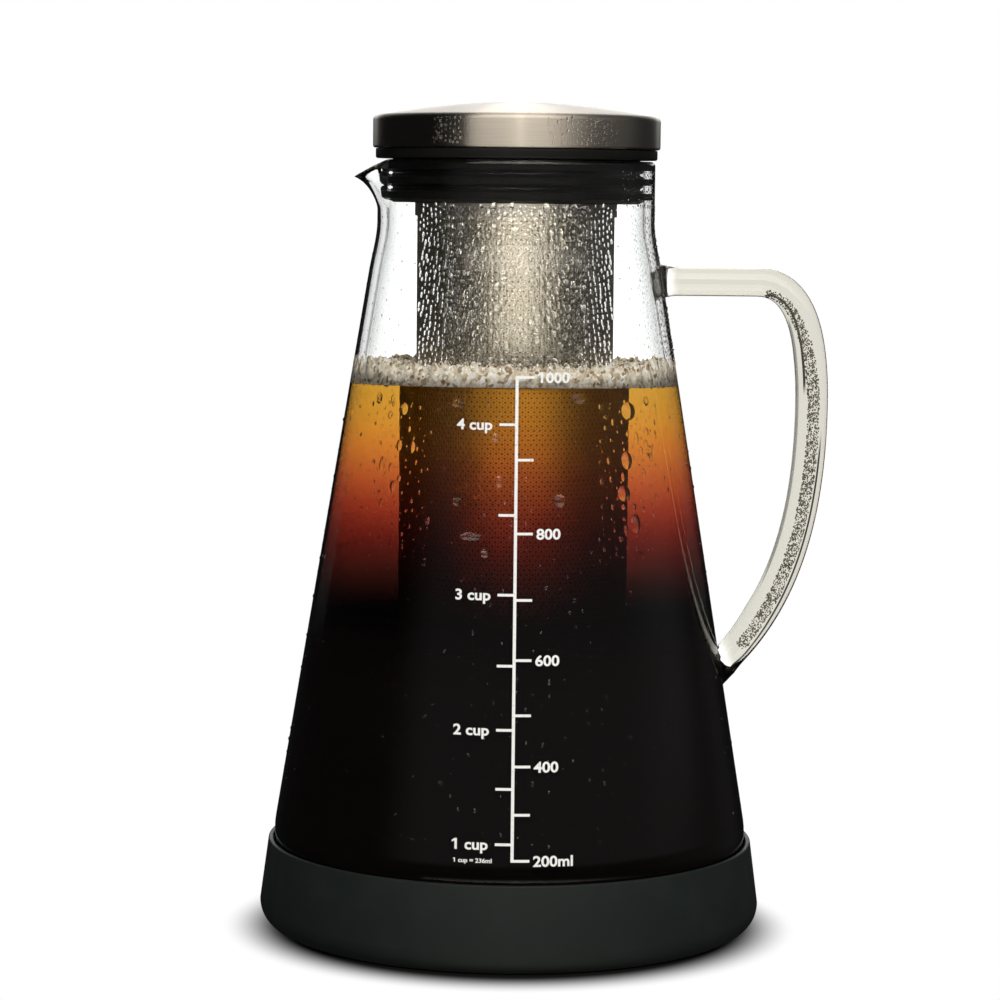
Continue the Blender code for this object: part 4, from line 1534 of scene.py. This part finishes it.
# %% Scattering small things on a sheet
def scatter_tree(name):
    """Copies of a small thing on a sheet, turned to its normal, mostly small and a few large."""
    numbers = dict(spacing=0.001, density=1e7, least=0.0003, most=0.001, curve=3.0, stretch=1.0, seed=1)
    board, wires = new_tree(name, thing=None, **numbers, material="")
    sheet, thing, spacing, density, least, most, curve, stretch, seed, material = wires
    points, normal = board.node(
        "GeometryNodeDistributePointsOnFaces",
        {"distribute_method": "POISSON"},
        {"Mesh": sheet, "Distance Min": spacing, "Density Max": density, "Seed": seed},
        out=("Points", "Normal"),
    )
    turn_to = board.node(
        "FunctionNodeAxesToRotation",
        {"primary_axis": "Z", "secondary_axis": "Y"},
        {"Primary Axis": normal, "Secondary Axis": (0.0, 0.0, 1.0)},
    )

    def draw(offset):
        sockets = {"Min": 0.0, "Max": 1.0, "Seed": seed + offset}
        return board.node("FunctionNodeRandomValue", {"data_type": "FLOAT"}, sockets, out="Value")

    size = least + (most - least) * draw(11) ** curve
    tall = size * (1 + (stretch - 1) * draw(12))
    flat = size * (0.8 + draw(13) * 0.4)
    scale = board.node("ShaderNodeCombineXYZ", None, {0: size, 1: tall, 2: flat})
    shape = board.node("GeometryNodeObjectInfo", None, {"Object": thing}, out="Geometry")
    copied = {"Points": points, "Instance": shape, "Rotation": turn_to, "Scale": scale}
    return end_tree(board, board.node("GeometryNodeInstanceOnPoints", None, copied), material)


scatter = scatter_tree("scatter")


def bubble(subdivisions):
    """A round bubble of radius 1 for the scatter tree to copy."""
    bm = bmesh.new()
    bmesh.ops.create_icosphere(bm, subdivisions=subdivisions, radius=1.0)
    return add_piece("bubble", finished_mesh("bubble", bm, smooth=True), foam_material)


# %% Froth bubbles
fine_bubble, large_bubble = bubble(1), bubble(2)
froth_sizes = [
    ("froth_fine", fine_bubble, dict(spacing=0.52 * MM, least=0.16 * MM, most=0.42 * MM, curve=1.5, seed=7)),
    ("froth_large", large_bubble, dict(spacing=1.7 * MM, least=0.4 * MM, most=0.8 * MM, curve=2.5, seed=8)),
]
for name, thing, sizes in froth_sizes:
    sheet = foam_mesh(name, FROTH_OUTER - sizes["most"], False)
    grown(name, sheet, scatter, "carafe", "carafe_glass", thing=thing, material=foam_material, **sizes)

# %% [markdown]
# ## Condensation
# Cold coffee draws water out of the air, so the glass is covered in drops. Each is a low dome with the
# contact angle of water on glass, and near the filter's edges it is a lens that shows the white sweep
# beside the dark steel. Fine drops lie close together in front of the filter and behind it, longer ones
# stand at its edges, and few are left where the glass is clear. Nearly all are scattered by the same
# Geometry Nodes tree as the froth, and the large drops over the coffee are set one by one.


# %% Drop shape
def cap_profile(contact_angle, rings):
    """(radius, height) points of a cap of base radius 1 whose edge meets its base at this angle."""
    edge = math.radians(contact_angle)
    sphere = 1 / math.sin(edge)
    angles = [edge * (1 - ring / rings) for ring in range(rings + 1)]
    return [(sphere * math.sin(angle), sphere * (math.cos(angle) - math.cos(edge))) for angle in angles]


def cap(contact_angle, sides, rings):
    """A drop's cap of base radius 1, closed below, for the scatter tree to copy."""
    *profile, (_, height) = cap_profile(contact_angle, rings)
    angles = [math.tau * side / sides for side in range(sides)]
    bm = bmesh.new()
    rows = [[bm.verts.new((r * math.cos(a), r * math.sin(a), z)) for a in angles] for r, z in profile]
    top = bm.verts.new((0.0, 0.0, height))
    bridge(bm, rows)
    for side in range(sides):
        bm.faces.new((rows[-1][side], rows[-1][(side + 1) % sides], top))
    base = bm.faces.new(rows[0][::-1])
    for face in bm.faces:
        face.smooth = face != base
    for edge in base.edges:
        edge.smooth = False
    return finished_mesh("cap", bm)


fine_drop = add_piece("fine_drop", cap(52, 8, 2), dew_water)
long_drop = add_piece("long_drop", cap(58, 10, 3), dew_water)
steep_drop = add_piece("steep_drop", cap(78, 6, 2), dew_water)
print("drop faces", [len(thing.data.polygons) for thing in (fine_drop, long_drop, steep_drop)])

# %% Where dew lies
INTO_GLASS = 0.04 * MM
WELD_CLEAR = 6.5 * MM
LIP_CLEAR_HEIGHT = 178.0 * MM


def round_at(place, low, high):
    """True where a place lies between two angles round from the front, positive to the right."""
    return low < math.degrees(math.atan2(place.x, -place.y)) < high


def beside(place, low, high):
    """True where a place lies this many millimetres to the left or right of the middle."""
    return low * MM <= abs(place.x) < high * MM


def off_limits(place):
    """True near the handle's welds and on the pulled lip, where no drop is set."""
    welds = [(wall_radius(height), 0.0, height) for height in (ARM_HEIGHT, FOOT_HEIGHT)]
    near_weld = min((place - Vector(weld)).length for weld in welds) < WELD_CLEAR
    on_lip = place.z > LIP_CLEAR_HEIGHT and abs(math.atan2(place.y, -place.x)) < 0.5
    return near_weld or on_lip


def round_sheet(name, radius_at, low, high, rows, kept):
    """A turned sheet between two heights, of which only the places that kept allows are left."""
    heights = [low + (high - low) * row / rows for row in range(rows + 1)]
    outline = [(radius_at(height) - INTO_GLASS, height) for height in heights]
    mesh = spun_mesh(name, outline, 180, closed=False)
    bm = bmesh.new()
    bm.from_mesh(mesh)
    face = bm.faces[:][0]
    if face.normal.dot(Vector((*face.calc_center_median().xy, 0.0))) < 0:
        bmesh.ops.reverse_faces(bm, faces=bm.faces)
    gone = [face for face in bm.faces if not kept(face.calc_center_median())]
    bmesh.ops.delete(bm, geom=gone, context="FACES")
    bm.to_mesh(mesh)
    bm.free()
    return mesh


# %% Dew on the glass
DEW_LINE = 140.5 * MM
DEW_TOP = 179.5 * MM
DEW_LOW = 30.0 * MM
GOLD_LOW = 96.0 * MM
GOLD_TOP = 133.0 * MM
RIM_TOP = 188.0 * MM


def dewed_beyond(place):
    """True on the rest of the front, between the sides of the dry place and the bounds of the dew."""
    return not (beside(place, 0, 24) or off_limits(place))


def dewed_at_handle(place):
    """True on the handle's side."""
    return round_at(place, 66, 114) and not off_limits(place)


glass_dew = (
    ("dew_fine", fine_drop, DEW_LINE, DEW_TOP, 40, lambda place: beside(place, 0, 16.5)),
    ("dew_middle", long_drop, DEW_LINE, DEW_TOP, 40, lambda place: beside(place, 0, 16.0)),
    ("dew_long", long_drop, DEW_LINE, DEW_TOP, 40, lambda place: beside(place, 16.5, 22.8)),
    ("dew_sparse", fine_drop, DEW_LINE, DEW_TOP, 40, dewed_beyond),
    ("dew_handle_side", steep_drop, DEW_LINE, DEW_TOP, 40, dewed_at_handle),
    ("dew_rim", steep_drop, DEW_TOP, RIM_TOP, 10, lambda place: round_at(place, 48, 80)),
    ("dew_gold", long_drop, GOLD_LOW, GOLD_TOP, 40, lambda place: beside(place, 20.5, 34) and place.y < 0),
    ("dew_cone", fine_drop, DEW_LOW, GOLD_TOP, 60, lambda place: not off_limits(place)),
)
DEW_SIZES = {
    "dew_fine": (0.82, 0.2, 0.5, 1.6, 1.4, 3),
    "dew_middle": (1.9, 0.4, 0.95, 1.8, 1.4, 2),
    "dew_long": (1.12, 0.28, 0.56, 1.3, 1.9, 4),
    "dew_sparse": (3.6, 0.12, 0.3, 2.0, 1.4, 5),
    "dew_handle_side": (1.15, 0.16, 0.34, 2.0, 1.4, 6),
    "dew_rim": (0.95, 0.16, 0.34, 2.0, 1.4, 9),
    "dew_gold": (2.5, 0.22, 0.75, 2.2, 1.9, 10),
    "dew_cone": (3.1, 0.12, 0.5, 4.0, 1.4, 11),
    "dew_lid": (0.9, 0.2, 0.45, 2.0, 1.5, 13),
    "grip_mist": (0.36, 0.18, 0.36, 2.0, 1.3, 17),
}


def dewed(name, sheet, body, slot, drop, water=dew_water):
    """Scatters drops on a sheet, by the spacing, sizes, curve, stretch and seed of that name."""
    spacing, least, most, curve, stretch, seed = DEW_SIZES[name]
    sizes = dict(spacing=spacing * MM, least=least * MM, most=most * MM, curve=curve, stretch=stretch)
    return grown(name, sheet, scatter, body, slot, thing=drop, material=water, seed=seed, **sizes)


for name, drop, low, high, rows, kept in glass_dew:
    dewed(name, round_sheet(name, wall_radius, low, high, rows, kept), "carafe", "carafe_glass", drop)

# %% Dew on the lid
DRY_BRIM = 1.0 * MM
DEWED_SIDE = 7.2 * MM
lid_sheet = round_sheet(
    "dew_lid",
    lambda height: LID_RADIUS,
    lid_low.z + DRY_BRIM,
    lid_low.z + DEWED_SIDE,
    8,
    lambda place: round_at(place, -35, -22) or round_at(place, 12, 42),
)
dewed("dew_lid", lid_sheet, "lid", "lid_steel", steep_drop)

# %% Mist on the grip
BAND_HALF = 21.0
BAND_START = -50.0
BAND_MIDDLE = 3.0
BAND_FROM = 24
BAND_SETTLED = 44
BAND_SHORT = 6


def grip_sheet(name):
    """A narrow band along the rod's front, from the bend's inner side to the middle of the grip."""
    path = handle_path()
    bm = bmesh.new()
    rows = []
    for index in range(BAND_FROM, len(path) - BAND_SHORT):
        center, outward, radius = rod_section(path, index)
        share = min((index - BAND_FROM) / (BAND_SETTLED - BAND_FROM), 1.0)
        middle = BAND_START + (BAND_MIDDLE - BAND_START) * share
        row = []
        for step in range(7):
            angle = math.radians(middle + BAND_HALF * (step / 3 - 1))
            away = outward * math.sin(angle) - ACROSS * math.cos(angle)
            row.append(bm.verts.new(center + away * (radius - INTO_GLASS)))
        rows.append(row)
    bridge(bm, rows, around=False)
    bm.normal_update()
    if sum(face.normal.y for face in bm.faces) > 0:
        bmesh.ops.reverse_faces(bm, faces=bm.faces)
    return finished_mesh(name, bm)


# Painted shade: these water beads are coloured dark brown, for the dark band that the rod shows along its
# front.
bead_water = clear("bead_water", (0.17, 0.155, 0.135), 1.33, 2 * MM, 0.001 * MM)
dewed("grip_mist", grip_sheet("grip_mist"), "carafe", "carafe_glass", steep_drop, bead_water)

# %% Large drops over the coffee
LARGE_DROPS = (
    ((-39.4, 130.8, 2.8, 3.1), (-34.5, 122.0, 2.3, 3.1), (-18.5, 132.7, 3.2, 2.2), (21.8, 134.0, 3.3, 2.7))
    + ((41.2, 130.8, 4.4, 4.4), (38.6, 119.2, 3.3, 4.3), (36.3, 111.5, 3.8, 3.9), (39.8, 104.2, 3.1, 4.7))
    + ((14.1, 110.3, 2.7, 3.3), (-39.5, 122.2, 1.8, 2.8), (-46.0, 117.5, 2.0, 3.8), (-40.1, 112.6, 2.1, 2.4))
    + ((-5.8, 125.0, 1.9, 2.1), (-17.3, 109.8, 2.0, 2.4), (-12.4, 101.7, 5.2, 2.2), (-8.0, 97.7, 1.9, 1.7))
    + ((-4.2, 114.7, 1.7, 2.9), (50.4, 133.0, 1.9, 2.4), (48.6, 125.7, 1.8, 2.2), (49.6, 121.3, 1.8, 2.2))
    + ((-51.9, 133.0, 2.2, 2.9), (-44.8, 133.0, 1.3, 2.4))
)
large_cap = cap(40, 20, 5)


def large_drop_mesh(name):
    """Every large drop, set on the glass by its degrees round, its height, width and length."""
    bm = bmesh.new()
    tilt = cone_tilt()
    for azimuth, height, width, length in LARGE_DROPS:
        turned_to = math.radians(azimuth)
        level = Vector((math.sin(turned_to), -math.cos(turned_to), 0.0))
        sideways = Vector((math.cos(turned_to), math.sin(turned_to), 0.0))
        normal = level * math.cos(tilt) + Vector((0.0, 0.0, math.sin(tilt)))
        axes = Matrix((sideways, normal.cross(sideways), normal)).transposed().to_4x4()
        size = Matrix.Diagonal((width / 2 * MM, length / 2 * MM, math.sqrt(width * length) / 2 * MM, 1.0))
        place = level * (wall_radius(height * MM) - INTO_GLASS) + Vector((0.0, 0.0, height * MM))
        drop = large_cap.copy()
        drop.transform(Matrix.Translation(place) @ axes @ size)
        bm.from_mesh(drop)
        bpy.data.meshes.remove(drop)
    return finished_mesh(name, bm)


large_drops = add_piece("large_drops", large_drop_mesh("large_drops"), dew_water)
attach(large_drops, "carafe")
print("large drops", len(LARGE_DROPS))
for thing in (fine_bubble, large_bubble, fine_drop, long_drop, steep_drop):
    bpy.data.objects.remove(thing)

# %% [markdown]
# ## Light paths and the end
# Light crosses many faces here: two walls, the coffee and the drops, in and out. The bounce limits are
# raised so that none of those paths ends in black.

# %% Bounces
MANY_BOUNCES = 24
cycles = bpy.context.scene.cycles
cycles.max_bounces = MANY_BOUNCES
cycles.transmission_bounces = MANY_BOUNCES
cycles.transparent_max_bounces = MANY_BOUNCES
cycles.glossy_bounces = 8
bpy.context.scene.view_settings.view_transform = "Standard"

# %% Update the view layer
bpy.context.view_layer.update()
